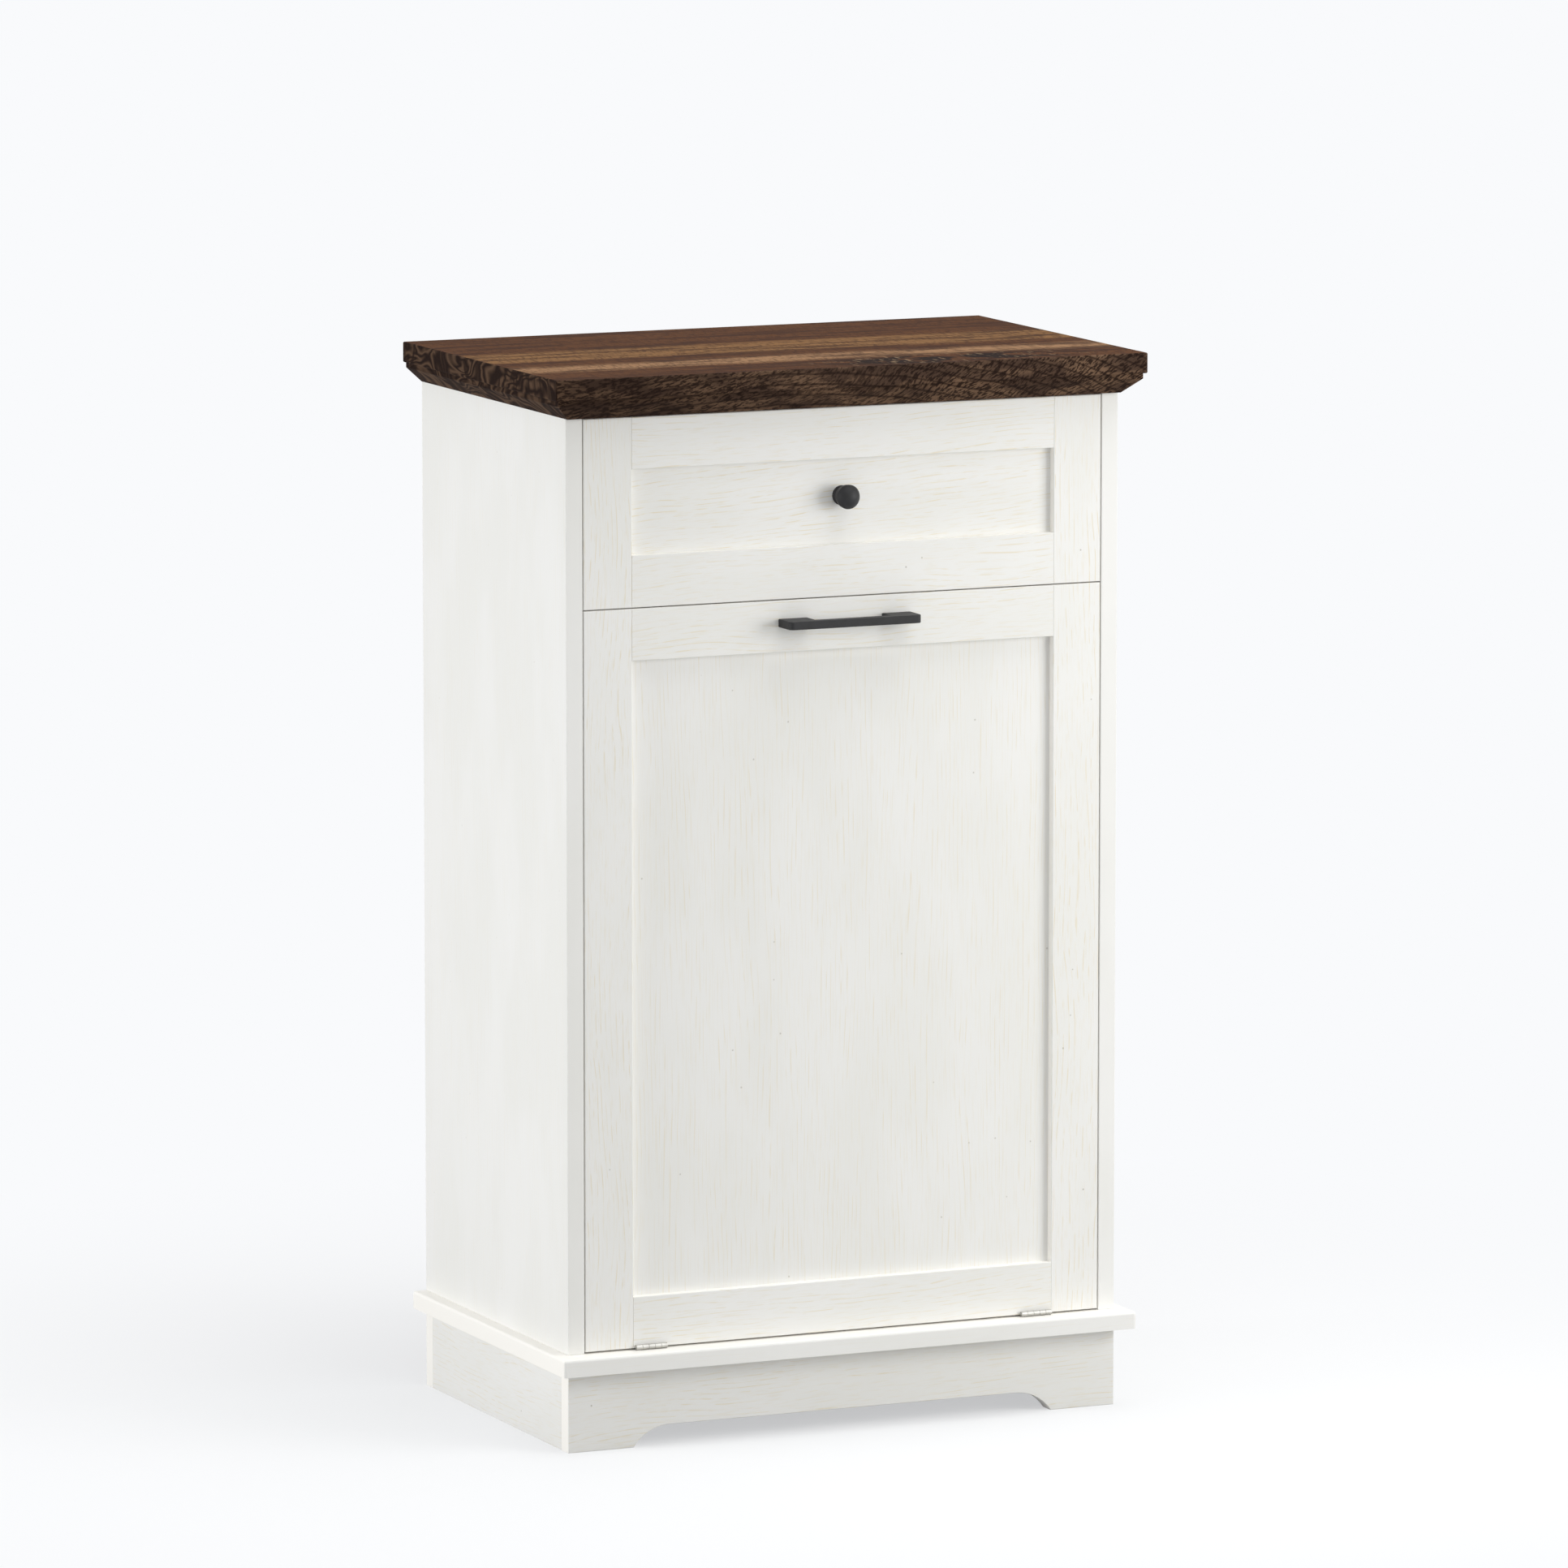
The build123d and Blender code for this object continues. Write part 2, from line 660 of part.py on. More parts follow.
# Drawer box: four boards grooved for a hardboard bottom
def drawer_board(label, centre_x, y_low, length_x, length_y, groove_faces):
    groove_level = drawer_box_bottom + drawer_bottom_rise
    with BuildPart() as piece:
        with BuildSketch(Plane.XY.offset(drawer_box_bottom)):
            with Locations((centre_x, y_low + length_y / 2)):
                Rectangle(length_x, length_y)
        extrude(amount=drawer_box_height)
        chamfer(piece.edges(), board_softening)
        with BuildSketch(Plane.XY.offset(groove_level)):
            for groove_x, groove_y, groove_length_x, groove_length_y in groove_faces:
                with Locations((groove_x, groove_y)):
                    Rectangle(groove_length_x, groove_length_y)
        extrude(amount=hardboard_thickness, mode=Mode.SUBTRACT)
    save(piece, label)


def drawer_box():
    inner_x = drawer_half_width - thin_board_thickness
    cross_width = 2 * inner_x
    front_board_back_y = front_inner_y + thin_board_thickness
    back_board_front_y = drawer_back_y - thin_board_thickness
    middle_y = (front_inner_y + drawer_back_y) / 2
    groove_run = drawer_box_length - 2 * (thin_board_thickness - drawer_groove_depth)
    for side, sign in SIDES:
        centre_x = sign * (drawer_half_width - thin_board_thickness / 2)
        groove_x = sign * (inner_x + drawer_groove_depth / 2)
        groove = (groove_x, middle_y, drawer_groove_depth, groove_run)
        label = f"drawer_side_{side}"
        drawer_board(label, centre_x, front_inner_y, thin_board_thickness, drawer_box_length, [groove])
    groove = (0, front_board_back_y - drawer_groove_depth / 2, cross_width, drawer_groove_depth)
    drawer_board("drawer_box_front", 0, front_inner_y, cross_width, thin_board_thickness, [groove])
    groove = (0, back_board_front_y + drawer_groove_depth / 2, cross_width, drawer_groove_depth)
    drawer_board("drawer_back", 0, back_board_front_y, cross_width, thin_board_thickness, [groove])
    reach = drawer_groove_depth - panel_groove_clearance
    with BuildPart() as piece:
        with BuildSketch(Plane.XY.offset(drawer_box_bottom + drawer_bottom_rise)):
            with Locations((0, middle_y)):
                bottom_length = back_board_front_y - front_board_back_y + 2 * reach
                Rectangle(cross_width + 2 * reach, bottom_length)
        extrude(amount=hardboard_thickness)
    save(piece, "drawer_bottom")


# Drawer slides: a wide channel on the cabinet, a narrow one on the drawer, and caged balls between
def slide_point(sign, offset, height):
    """A point of a slide's section in X and Z, its offset taken inwards from the side panel."""
    return sign * (inner_half_width - offset), slide_level + height


def race_path(sign, flip, points):
    """Half of a channel's centre line: straight runs and quarter bends, from the web to the race."""
    for start, middle, end in points:
        start_point = slide_point(sign, start[0], flip * start[1])
        end_point = slide_point(sign, end[0], flip * end[1])
        if middle is None:
            Line(start_point, end_point)
        else:
            ThreePointArc(start_point, slide_point(sign, middle[0], flip * middle[1]), end_point)


def arc_points(centre, radius, start_angle, end_angle):
    """Start, middle and end of an arc in a slide's section."""
    angles = (start_angle, (start_angle + end_angle) / 2, end_angle)
    return [
        (centre[0] + radius * cos(radians(a)), centre[1] + radius * sin(radians(a))) for a in angles
    ]


def slide_channel(label, sign, web_offset, runs, y_low, length, stop_reach=0):
    """A rolled channel of even metal: a web, two ball races and, on the outer one, a rear stop tab."""
    web_end = runs[0][0]
    with BuildPart() as piece:
        with BuildSketch(facing(y_low)):
            with BuildLine() as centre_line:
                Line(
                    slide_point(sign, web_offset, -web_end[1]),
                    slide_point(sign, web_offset, web_end[1]),
                )
                race_path(sign, 1, runs)
                race_path(sign, -1, runs)
            trace(centre_line.line, slide_metal)
        extrude(amount=-length)
        if stop_reach:
            with BuildSketch(facing(y_low + length - slide_metal)):
                with Locations(slide_point(sign, stop_reach / 2, 0)):
                    Rectangle(stop_reach, slide_stop_height)
            extrude(amount=-slide_metal)
    save(piece, label)


def drawer_slides():
    ball_radius = ball_diameter / 2
    race_radius = ball_radius + ball_clearance + slide_metal / 2
    ball_centre = (ball_offset, ball_spread)
    outer_web = slide_metal / 2
    inner_web = slide_width - slide_metal / 2
    outer_corner = arc_points((outer_web + race_radius, ball_spread), race_radius, 180, 90)
    outer_race = arc_points(ball_centre, race_radius, 90, race_end_angle)
    outer_runs = [outer_corner, (outer_corner[2], None, outer_race[0]), outer_race]
    bend_level = ball_spread - 2 * race_radius
    inner_corner = arc_points((inner_web - race_radius, bend_level), race_radius, 0, 90)
    inner_race = arc_points(ball_centre, race_radius, 270, 180 + race_end_angle)
    inner_runs = [inner_corner, (inner_corner[2], None, inner_race[0]), inner_race]
    cage_length = (balls_per_row - 1) * ball_pitch + 2 * cage_end_margin
    cage_middle_y = slide_front_y + drawer_travel / 2 + cage_length / 2 + slide_setback
    cage_web_x = slide_metal + cage_web_gap
    cage_tip_x = ball_offset + cage_reach
    pocket_width = ball_diameter + 2 * cage_pocket_clearance
    ball_ys = [cage_middle_y + (i - (balls_per_row - 1) / 2) * ball_pitch for i in range(balls_per_row)]
    for side, sign in SIDES:
        label = f"slide_outer_{side}"
        stop_reach = slide_width - slide_stop_clearance
        slide_channel(label, sign, outer_web, outer_runs, slide_front_y, slide_length, stop_reach)
        label = f"slide_inner_{side}"
        inner_length = slide_length - slide_stop_clearance - slide_metal
        slide_channel(label, sign, inner_web, inner_runs, slide_front_y, inner_length)
        with BuildPart() as piece:
            with BuildSketch(facing(cage_middle_y - cage_length / 2)):
                with BuildLine():
                    arm_low = ball_spread - cage_metal / 2
                    arm_high = ball_spread + cage_metal / 2
                    Polyline(
                        slide_point(sign, cage_tip_x, arm_high),
                        slide_point(sign, cage_web_x, arm_high),
                        slide_point(sign, cage_web_x, -arm_high),
                        slide_point(sign, cage_tip_x, -arm_high),
                        slide_point(sign, cage_tip_x, -arm_low),
                        slide_point(sign, cage_web_x + cage_metal, -arm_low),
                        slide_point(sign, cage_web_x + cage_metal, arm_low),
                        slide_point(sign, cage_tip_x, arm_low),
                        close=True,
                    )
                make_face()
            extrude(amount=-cage_length)
            with BuildSketch(Plane.XY.offset(slide_level - ball_spread - cage_metal)):
                pocket_x = slide_point(sign, ball_offset, 0)[0]
                with Locations([(pocket_x, y) for y in ball_ys]):
                    Rectangle(pocket_width, pocket_width)
            extrude(amount=2 * (ball_spread + cage_metal), mode=Mode.SUBTRACT)
        save(piece, f"slide_cage_{side}")
    with BuildPart() as ball:
        Box(ball_diameter, ball_diameter, ball_diameter)
        chamfer(ball.edges(), ball_radius * (2 - sqrt(2)))
    with BuildPart() as piece:
        for _, sign in SIDES:
            ball_x = slide_point(sign, ball_offset, 0)[0]
            for row in (-1, 1):
                with Locations([(ball_x, y, slide_level + row * ball_spread) for y in ball_ys]):
                    add(ball.part)
    save(piece, "slide_balls")


os.makedirs("parts", exist_ok=True)
plinth_front()
plinth_sides_and_back()
base_board()
side_panels()
back_panel()
inner_boards()
top_board()
top_mouldings()
framed_fronts()
door_handle()
drawer_knob()
hinges()
bin_crate()
quadrant_stays()
stay_pins()
magnetic_catch()
drawer_box()
drawer_slides()
print("overall", carcass_width + 2 * top_side_overhang, carcass_depth + front_reach, overall_height)
print("hinge axis", 0, round(hinge_y, 3), round(hinge_z, 3))
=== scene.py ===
"""Dress a tilt-out trash cabinet: white ash foil boards, a walnut top and black metal grips."""
import json
from itertools import product
from math import asin, cos, pi, radians, sin

import bmesh
import bpy
from mathutils import Matrix, Vector

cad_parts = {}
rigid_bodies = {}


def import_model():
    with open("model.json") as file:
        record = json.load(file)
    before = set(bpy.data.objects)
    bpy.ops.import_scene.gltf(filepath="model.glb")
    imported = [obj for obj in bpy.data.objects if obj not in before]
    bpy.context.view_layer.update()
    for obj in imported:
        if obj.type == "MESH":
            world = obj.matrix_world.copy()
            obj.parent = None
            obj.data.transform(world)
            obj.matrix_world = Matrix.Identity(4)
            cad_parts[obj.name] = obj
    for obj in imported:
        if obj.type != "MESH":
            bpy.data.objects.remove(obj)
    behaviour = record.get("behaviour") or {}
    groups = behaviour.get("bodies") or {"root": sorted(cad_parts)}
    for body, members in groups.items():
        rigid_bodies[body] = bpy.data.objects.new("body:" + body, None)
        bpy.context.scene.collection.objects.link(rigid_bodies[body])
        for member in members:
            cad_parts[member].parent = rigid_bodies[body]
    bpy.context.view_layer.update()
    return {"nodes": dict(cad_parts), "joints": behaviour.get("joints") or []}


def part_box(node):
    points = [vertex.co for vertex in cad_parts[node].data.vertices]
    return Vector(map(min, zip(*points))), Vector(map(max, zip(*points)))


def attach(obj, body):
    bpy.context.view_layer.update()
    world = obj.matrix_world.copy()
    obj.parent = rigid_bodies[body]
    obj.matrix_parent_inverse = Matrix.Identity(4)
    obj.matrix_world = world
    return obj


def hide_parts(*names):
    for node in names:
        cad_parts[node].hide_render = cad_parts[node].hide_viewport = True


# Nothing of the startup file stays beside the cabinet
for leftover in list(bpy.data.objects):
    bpy.data.objects.remove(leftover)

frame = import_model()

bl_info = {
    "name": "Tilt-out Trash Cabinet",
    "version": (1, 0, 0),
    "blender": (4, 5, 0),
    "location": "View3D > Sidebar > Cabinet",
    "description": "Finishes and small parts for a cabinet with a tilting bin door and a drawer",
    "category": "Object",
}

MM = 0.001
NODES = frame["nodes"]
JOINTS = {joint["name"]: joint for joint in frame["joints"]}
TILT_AXIS = Vector(JOINTS["door_tilt"]["pos_m"])
SIDES = (("left", -1), ("right", 1))


def linear(hex_colour):
    """Turn an sRGB hex colour into linear RGBA."""
    channels = [int(hex_colour[i:i + 2], 16) / 255 for i in (0, 2, 4)]
    curve = [c / 12.92 if c <= 0.04045 else ((c + 0.055) / 1.055) ** 2.4 for c in channels]
    return (*curve, 1.0)


def colour(name, description, hex_colour):
    """A colour property with its default given as sRGB hex."""
    return bpy.props.FloatVectorProperty(
        name=name, description=description, subtype="COLOR", size=4, min=0, max=1,
        default=linear(hex_colour),
    )


def length(name, description, millimetres):
    """A length property with its default given in millimetres."""
    return bpy.props.FloatProperty(
        name=name, description=description, unit="LENGTH", min=0, precision=4,
        default=millimetres * MM,
    )


class FoilSettings(bpy.types.PropertyGroup):
    white: colour("White", "Ground colour of the printed foil", "EEEEEC")
    shade: colour("Shade", "Colour of the foil's faint cloudy variation", "EBEBE8")
    edge: colour("Edge band", "Colour of the edge bands in the gaps and the recess", "FCFAF5")
    streak: colour("Streak", "Honey colour of the broken grain streaks", "E2D8BE")
    speck: colour("Speck", "Grey brown of the few dark specks", "8F8874")
    streak_width: length("Streak width", "Width of one streak across the grain", 0.7)
    streak_run: length("Streak run", "Usual length of one streak along the grain", 16)
    streak_spacing: length("Streak spacing", "Usual distance between lines of streaks", 4.5)
    group_width: length("Group width", "Width of a loose group of streaks", 14)
    melamine: colour("Melamine", "White of the crate and the drawer box", "EFEFEC")
    fibre: colour("Fibre", "Brown of the hardboard's bare side", "8A6A4B")
    fibre_shade: colour("Fibre shade", "Darker brown between the fibres", "745539")
    fibre_dark: colour("Dark fibre", "Darkest loose fibres of the hardboard", "4D3723")


class WalnutSettings(bpy.types.PropertyGroup):
    light: colour("Light plank", "Lightest brown of the planks", "987556")
    middle: colour("Middle plank", "Middle brown of the planks", "84613F")
    dark: colour("Dark plank", "Reddish brown of the dark planks", "583924")
    deep: colour("Deep plank", "Darkest brown of the planks", "36221A")
    pore: colour("Pore", "Nearly black brown of the pores", "211612")
    edge: colour("Edge", "Ground brown of the edges and the moulding", "4B3A30")
    fleck: colour("Fleck", "Pale flecks on the edges and the moulding", "715947")
    cream: colour("Cream", "Few cream flecks beside the knot at the front", "A48A6C")


class MetalSettings(bpy.types.PropertyGroup):
    black: colour("Black", "Matt black powder coat of the grips", "232324")
    black_sheen: colour("Worn black", "Paler black of the powder coat's faint clouds", "28282A")
    nickel: colour("Nickel", "Satin nickel of the hinges", "C4C3BE")
    zinc: colour("Zinc", "Bright zinc of the slides and the stays", "9C9FA3")
    ball: colour("Ball steel", "Polished steel of the balls", "C8CACC")
    plastic: colour("Catch white", "Moulded white of the magnetic catch", "E9E9E6")
    plastic_shade: colour("Catch shade", "Slightly darker clouds in the moulding", "E2E2DE")


class KnobSettings(bpy.types.PropertyGroup):
    foot_radius: length("Foot radius", "Radius of the foot against the panel", 8.4)
    foot_height: length("Foot height", "Thickness of the foot", 1.6)
    foot_softening: length("Foot softening", "Radius of the foot's rounded edge", 0.5)
    neck_radius: length("Neck radius", "Radius of the waist", 4.6)
    neck_fillet: length("Neck fillet", "Radius between the foot and the waist", 1.2)
    rim_radius: length("Rim radius", "Radius of the head's rounded rim", 1.0)
    rim_end: length("Rim end", "Distance from the panel at which the dome would begin", 14.9)


class ScrewSettings(bpy.types.PropertyGroup):
    grip_head: length("Grip screw head", "Head diameter of the knob's and handle's screws", 8.0)
    grip_spacing: length("Handle screw spacing", "Distance between the handle's screws", 96.0)
    hinge_head: length("Hinge screw head", "Head diameter of the hinge screws", 5.2)
    hinge_spacing: length("Hinge screw spacing", "Distance between a leaf's two screws", 15.0)
    hinge_setback: length(
        "Hinge screw setback", "Distance of the hinge screws from the door's front face", 11.0,
    )
    stay_head: length("Stay screw head", "Head diameter of the screws that hold the stays", 7.0)
    catch_head: length("Catch screw head", "Head diameter of the catch's screws", 4.0)
    slide_head: length("Slide screw head", "Head diameter of the slides' screws", 6.0)


class StageSettings(bpy.types.PropertyGroup):
    backdrop: colour("Backdrop", "Colour behind and below the cabinet", "F9FAFC")
    floor: colour("Floor", "Colour of the floor as the camera sees it", "F4F5F6")
    floor_bounce: colour("Floor bounce", "Colour of the floor as it lights the cabinet", "B4B4B4")
    ambient: colour("Ambient", "Colour of the soft light from all round", "F9F9F8")


# Materials

# Sockets of the Mix node where it mixes two colours
FACTOR, FIRST, SECOND, MIXED = 0, 6, 7, 2

# Sockets of the Mix node where it mixes two numbers
FIRST_NUMBER, SECOND_NUMBER = 2, 3


def add_node(tree, kind, inputs=(), output=0, stops=(), **settings):
    """Add a shader node with its settings, links, values and colour stops, and give an output."""
    node = tree.nodes.new(f"ShaderNode{kind}")
    for name, value in settings.items():
        setattr(node, name, value)
    for socket, value in dict(inputs).items():
        if isinstance(value, bpy.types.NodeSocket):
            tree.links.new(value, node.inputs[socket])
        else:
            node.inputs[socket].default_value = value
    for place, (position, shade) in enumerate(stops):
        ramp = node.color_ramp.elements
        stop = ramp[place] if place < len(ramp) else ramp.new(position)
        stop.position = position
        stop.color = shade
    return node.outputs[output] if node.outputs else node


def mix(tree, factor, first, second):
    """A colour between two, by a factor."""
    inputs = {FACTOR: factor, FIRST: first, SECOND: second}
    return add_node(tree, "Mix", inputs, MIXED, data_type="RGBA")


def multiply(tree, first, second):
    """The product of two numbers."""
    return add_node(tree, "Math", {0: first, 1: second}, operation="MULTIPLY")


def smooth_step(tree, value, start, end, strength=1.0):
    """A smooth step from 0, where a value is at start, to strength, where it is at end."""
    limits = {"Value": value, "From Min": start, "From Max": end, "To Max": strength}
    return add_node(tree, "MapRange", limits, interpolation_type="SMOOTHSTEP")


def empty_tree(owner):
    """The emptied node tree of a material or a world."""
    owner.use_nodes = True
    owner.node_tree.nodes.clear()
    return owner.node_tree


def start_material(name):
    """A new material's emptied node tree, and the coordinates that its patterns follow."""
    tree = empty_tree(bpy.data.materials.new(name))
    return tree, add_node(tree, "TexCoord", output="Object")


def finish_material(name, tree, base, normal, roughness, **values):
    """Close a material with its shader: the colour and normal are linked, the rest are values."""
    inputs = {"Base Color": base, "Normal": normal, "Roughness": roughness}
    inputs.update({socket.replace("_", " "): value for socket, value in values.items()})
    shader = add_node(tree, "BsdfPrincipled", inputs)
    add_node(tree, "OutputMaterial", {"Surface": shader})
    return bpy.data.materials[name]


def along(grain, run, gap):
    """A cell that is as long as run along the grain and as wide as gap across it."""
    return [run if axis == grain else gap for axis in "XYZ"]


def speckle(tree, place, size, detail=2.0, roughness=0.5, slant=0.0, output="Fac"):
    """A noise whose cells have the given size in metres along X, Y and Z, tilted by a slant."""
    turned = add_node(tree, "Mapping", {"Vector": place, "Rotation": (0, slant, 0)})
    scaled = add_node(tree, "Mapping", {"Vector": turned, "Scale": [1 / side for side in size]})
    inputs = {"Vector": scaled, "Scale": 1.0, "Detail": detail, "Roughness": roughness}
    return add_node(tree, "TexNoise", inputs, output)


def marks(tree, place, size, low, high, strength=1.0, **noise):
    """Marks where a speckle rises from low to high: 0 beside them and strength on them."""
    return smooth_step(tree, speckle(tree, place, size, **noise), low, high, strength)


def year_lines(tree, height, spacing, width, strength=1.0):
    """Lines where a height passes each whole spacing, like the year rings that a board cuts."""
    folded = add_node(tree, "Math", {0: height, 1: spacing / 2}, operation="PINGPONG")
    return smooth_step(tree, folded, width, 0.0, strength)


def patch(tree, place, centre, reach):
    """A soft spot: 1 at its centre and 0 beyond its reach along X, Y and Z."""
    scale = [1 / side for side in reach]
    offset = [-side * factor for side, factor in zip(centre, scale)]
    own = add_node(tree, "Mapping", {"Vector": place, "Location": offset, "Scale": scale})
    distance = add_node(tree, "VectorMath", {0: own}, "Value", operation="LENGTH")
    return smooth_step(tree, distance, 1.0, 0.4)


def warped(tree, place, cell, reach):
    """Coordinates pushed about by a slow noise, by up to reach."""
    drift = speckle(tree, place, cell, 1.0, output="Color")
    centred = add_node(tree, "VectorMath", {0: drift, 1: (0.5, 0.5, 0.5)}, operation="SUBTRACT")
    push = add_node(tree, "VectorMath", {0: centred, "Scale": 2 * reach}, operation="SCALE")
    return add_node(tree, "VectorMath", {0: place, 1: push}, operation="ADD")


def facing(tree, axis, low, high, strength=1.0):
    """Strength on the faces that look along an axis, either way, and 0 on the others."""
    normal = add_node(tree, "TexCoord", output="Normal")
    part = add_node(tree, "SeparateXYZ", {"Vector": normal}, axis)
    size = add_node(tree, "Math", {0: part}, operation="ABSOLUTE")
    return smooth_step(tree, size, low, high, strength)


# The specks' cells, and a speck's rim and full core as shares of a cell
SPECK_SPACING = 24 * MM
SPECK_RIM, SPECK_CORE = 0.045, 0.02


def ash_foil(name, grain, broad, amount=1.0, run_scale=1.0, slant=0.0, warm_edges=False):
    """White-stained ash foil, printed and embossed, wrapped round particle board.

    It gives the eye a satin white with thin, broken, honey-coloured grain streaks in loose
    groups and a few specks on the broad faces, and plain edge bands. The streaks follow wavy
    lines a few millimetres apart, and are drawn 0.7 mm wide, about twice the real pores, so
    that they show.
    """
    foil = bpy.context.scene.cabinet_foil
    run = foil.streak_run * run_scale
    tree, place = start_material(name)
    wavy = warped(tree, place, along(grain, 40 * MM, 14 * MM), 0.8 * MM)
    turned = add_node(tree, "Mapping", {"Vector": wavy, "Rotation": (0, slant, 0)})

    # Broken lines of streaks in loose groups, with fainter ones between them
    (across,) = set("XYZ") - {grain, broad}
    level = add_node(tree, "SeparateXYZ", {"Vector": turned}, across)
    drift = speckle(tree, turned, along(grain, 18 * run, 5 * foil.group_width), 2.0)
    drifted = {0: drift, 1: 3 * foil.group_width, 2: level}
    height = add_node(tree, "Math", drifted, operation="MULTIPLY_ADD")
    rings = year_lines(tree, height, foil.streak_spacing, foil.streak_width)
    dashes = marks(tree, wavy, along(grain, run, 4 * foil.streak_width), 0.4, 0.6, slant=slant)
    groups = marks(tree, wavy, along(grain, 4 * run, foil.group_width), 0.34, 0.6, slant=slant)
    faint = marks(
        tree, wavy, along(grain, 1.2 * run, 1.4 * MM), 0.5, 0.72, 0.3, roughness=0.6, slant=slant,
    )
    grouped = multiply(tree, multiply(tree, rings, dashes), groups)
    with_faint = add_node(tree, "Math", {0: grouped, 1: faint}, operation="MAXIMUM")
    broad_face = facing(tree, broad, 0.5, 0.7, amount)
    streaks = multiply(tree, with_faint, broad_face)

    clouds = marks(tree, place, along(grain, 160 * MM, 60 * MM), 0.35, 0.65)
    ground = mix(tree, clouds, foil.white, foil.shade)
    if warm_edges:
        ground = mix(tree, facing(tree, broad, 0.5, 0.7), foil.edge, ground)
    grained = mix(tree, streaks, ground, foil.streak)

    # Dark specks of about 1.5 mm, where the surface passes near a cell's point
    spread = add_node(tree, "Mapping", {"Vector": place, "Scale": [1 / SPECK_SPACING] * 3})
    distance = add_node(tree, "TexVoronoi", {"Vector": spread, "Scale": 1.0}, "Distance")
    dots = smooth_step(tree, distance, SPECK_RIM, SPECK_CORE, 0.7)
    base = mix(tree, multiply(tree, dots, broad_face), grained, foil.speck)
    normal = add_node(tree, "Bump", {"Height": streaks, "Distance": -0.04 * MM, "Strength": 0.6})
    return finish_material(name, tree, base, normal, 0.48, Specular_IOR_Level=0.35)


def melamine(name):
    """White melamine paper pressed on particle board.

    It gives the eye a plain, slightly pebbled white without grain.
    """
    foil = bpy.context.scene.cabinet_foil
    tree, place = start_material(name)
    cloud = marks(tree, place, [90 * MM] * 3, 0.35, 0.7)
    pebble = speckle(tree, place, [0.9 * MM] * 3, 1.0)
    base = mix(tree, cloud, foil.melamine, foil.shade)
    normal = add_node(tree, "Bump", {"Height": pebble, "Distance": 0.03 * MM, "Strength": 0.5})
    return finish_material(name, tree, base, normal, 0.42, Specular_IOR_Level=0.4)


def hardboard(name):
    """Hardboard, pressed from wood fibre and lacquered white on the side that shows inside.

    It gives the eye a smooth white inside and a mottled brown back with loose fibres.
    """
    foil = bpy.context.scene.cabinet_foil
    tree, place = start_material(name)
    mottle = marks(tree, place, [7 * MM] * 3, 0.3, 0.75, detail=4.0, roughness=0.6)
    tangled = warped(tree, place, [6 * MM] * 3, 4 * MM)
    fibre_size = [4 * MM, 2 * MM, 0.6 * MM]
    dark_fibres = marks(tree, tangled, fibre_size, 0.58, 0.72, 0.35)
    brown = mix(tree, mottle, foil.fibre, foil.fibre_shade)
    bare = mix(tree, dark_fibres, brown, foil.fibre_dark)
    normal = add_node(tree, "TexCoord", output="Normal")
    towards_front = add_node(
        tree, "VectorMath", {0: normal, 1: (0, -1, 1)}, "Value", operation="DOT_PRODUCT",
    )
    inside = add_node(
        tree, "MapRange", {"Value": towards_front, "From Min": 0.45, "From Max": 0.55},
    )
    base = mix(tree, inside, bare, foil.melamine)
    relief = {"Height": dark_fibres, "Distance": 0.05 * MM, "Strength": 0.5}
    return finish_material(name, tree, base, add_node(tree, "Bump", relief), 0.6)


# Planks of the top, from the front edge back: where each tone begins and ends, in mm on Y
PLANK_TONES = (
    (-175, "dark"), (-114, "dark"), (-98, "light"), (-74, "light"), (-54, "dark"), (-34, "dark"),
    (-20, "middle"), (38, "middle"), (54, "dark"), (175, "dark"),
)
PLANK_FRAY = 18

# The knot at the top's front edge: its centre and its reach along X, Y and Z, in metres
KNOT_CENTRE = (0.1, -0.138, 0.913)
KNOT_REACH = (0.17, 0.044, 0.02)


def walnut_planks(tree, place, walnut):
    """The top's planks: frayed tones across Y, long streaks along X, short ticks and a knot.

    The streaks and ticks are drawn many millimetres wide, several times the real pores,
    because the eye sees the top nearly edge on.
    """
    drifted = warped(tree, place, [260 * MM, 60 * MM, 60 * MM], 9 * MM)
    fray = speckle(tree, drifted, [140 * MM, 8 * MM, 8 * MM], 4.0, 0.6)
    across = add_node(tree, "SeparateXYZ", {"Vector": drifted}, "Y")
    frayed = {0: fray, 1: PLANK_FRAY * MM, 2: across}
    edge_line = add_node(tree, "Math", frayed, operation="MULTIPLY_ADD")
    low, high = PLANK_TONES[0][0], PLANK_TONES[-1][0]
    span = {
        "Value": edge_line,
        "From Min": (low + PLANK_FRAY / 2) * MM,
        "From Max": (high + PLANK_FRAY / 2) * MM,
    }
    position = add_node(tree, "MapRange", span)
    stops = [((y - low) / (high - low), getattr(walnut, tone)) for y, tone in PLANK_TONES]
    planks = add_node(tree, "ValToRGB", {"Fac": position}, stops=stops)
    streaks = marks(
        tree, drifted, [160 * MM, 16 * MM, 16 * MM], 0.47, 0.6, 0.75, detail=5.0, roughness=0.72,
    )
    toned = mix(tree, streaks, planks, walnut.deep)
    ticks = marks(tree, drifted, [3 * MM, 14 * MM, 14 * MM], 0.46, 0.64, 0.55, roughness=0.6)
    ground = mix(tree, ticks, toned, walnut.deep)

    knot = patch(tree, place, KNOT_CENTRE, KNOT_REACH)
    stains = marks(tree, place, [30 * MM, 14 * MM, 14 * MM], 0.42, 0.5, detail=3.0)
    stained = mix(tree, multiply(tree, knot, stains), ground, walnut.pore)
    flecks = marks(tree, place, [4 * MM, 14 * MM, 14 * MM], 0.58, 0.7, 0.5)
    return mix(tree, multiply(tree, knot, flecks), stained, walnut.cream), ticks


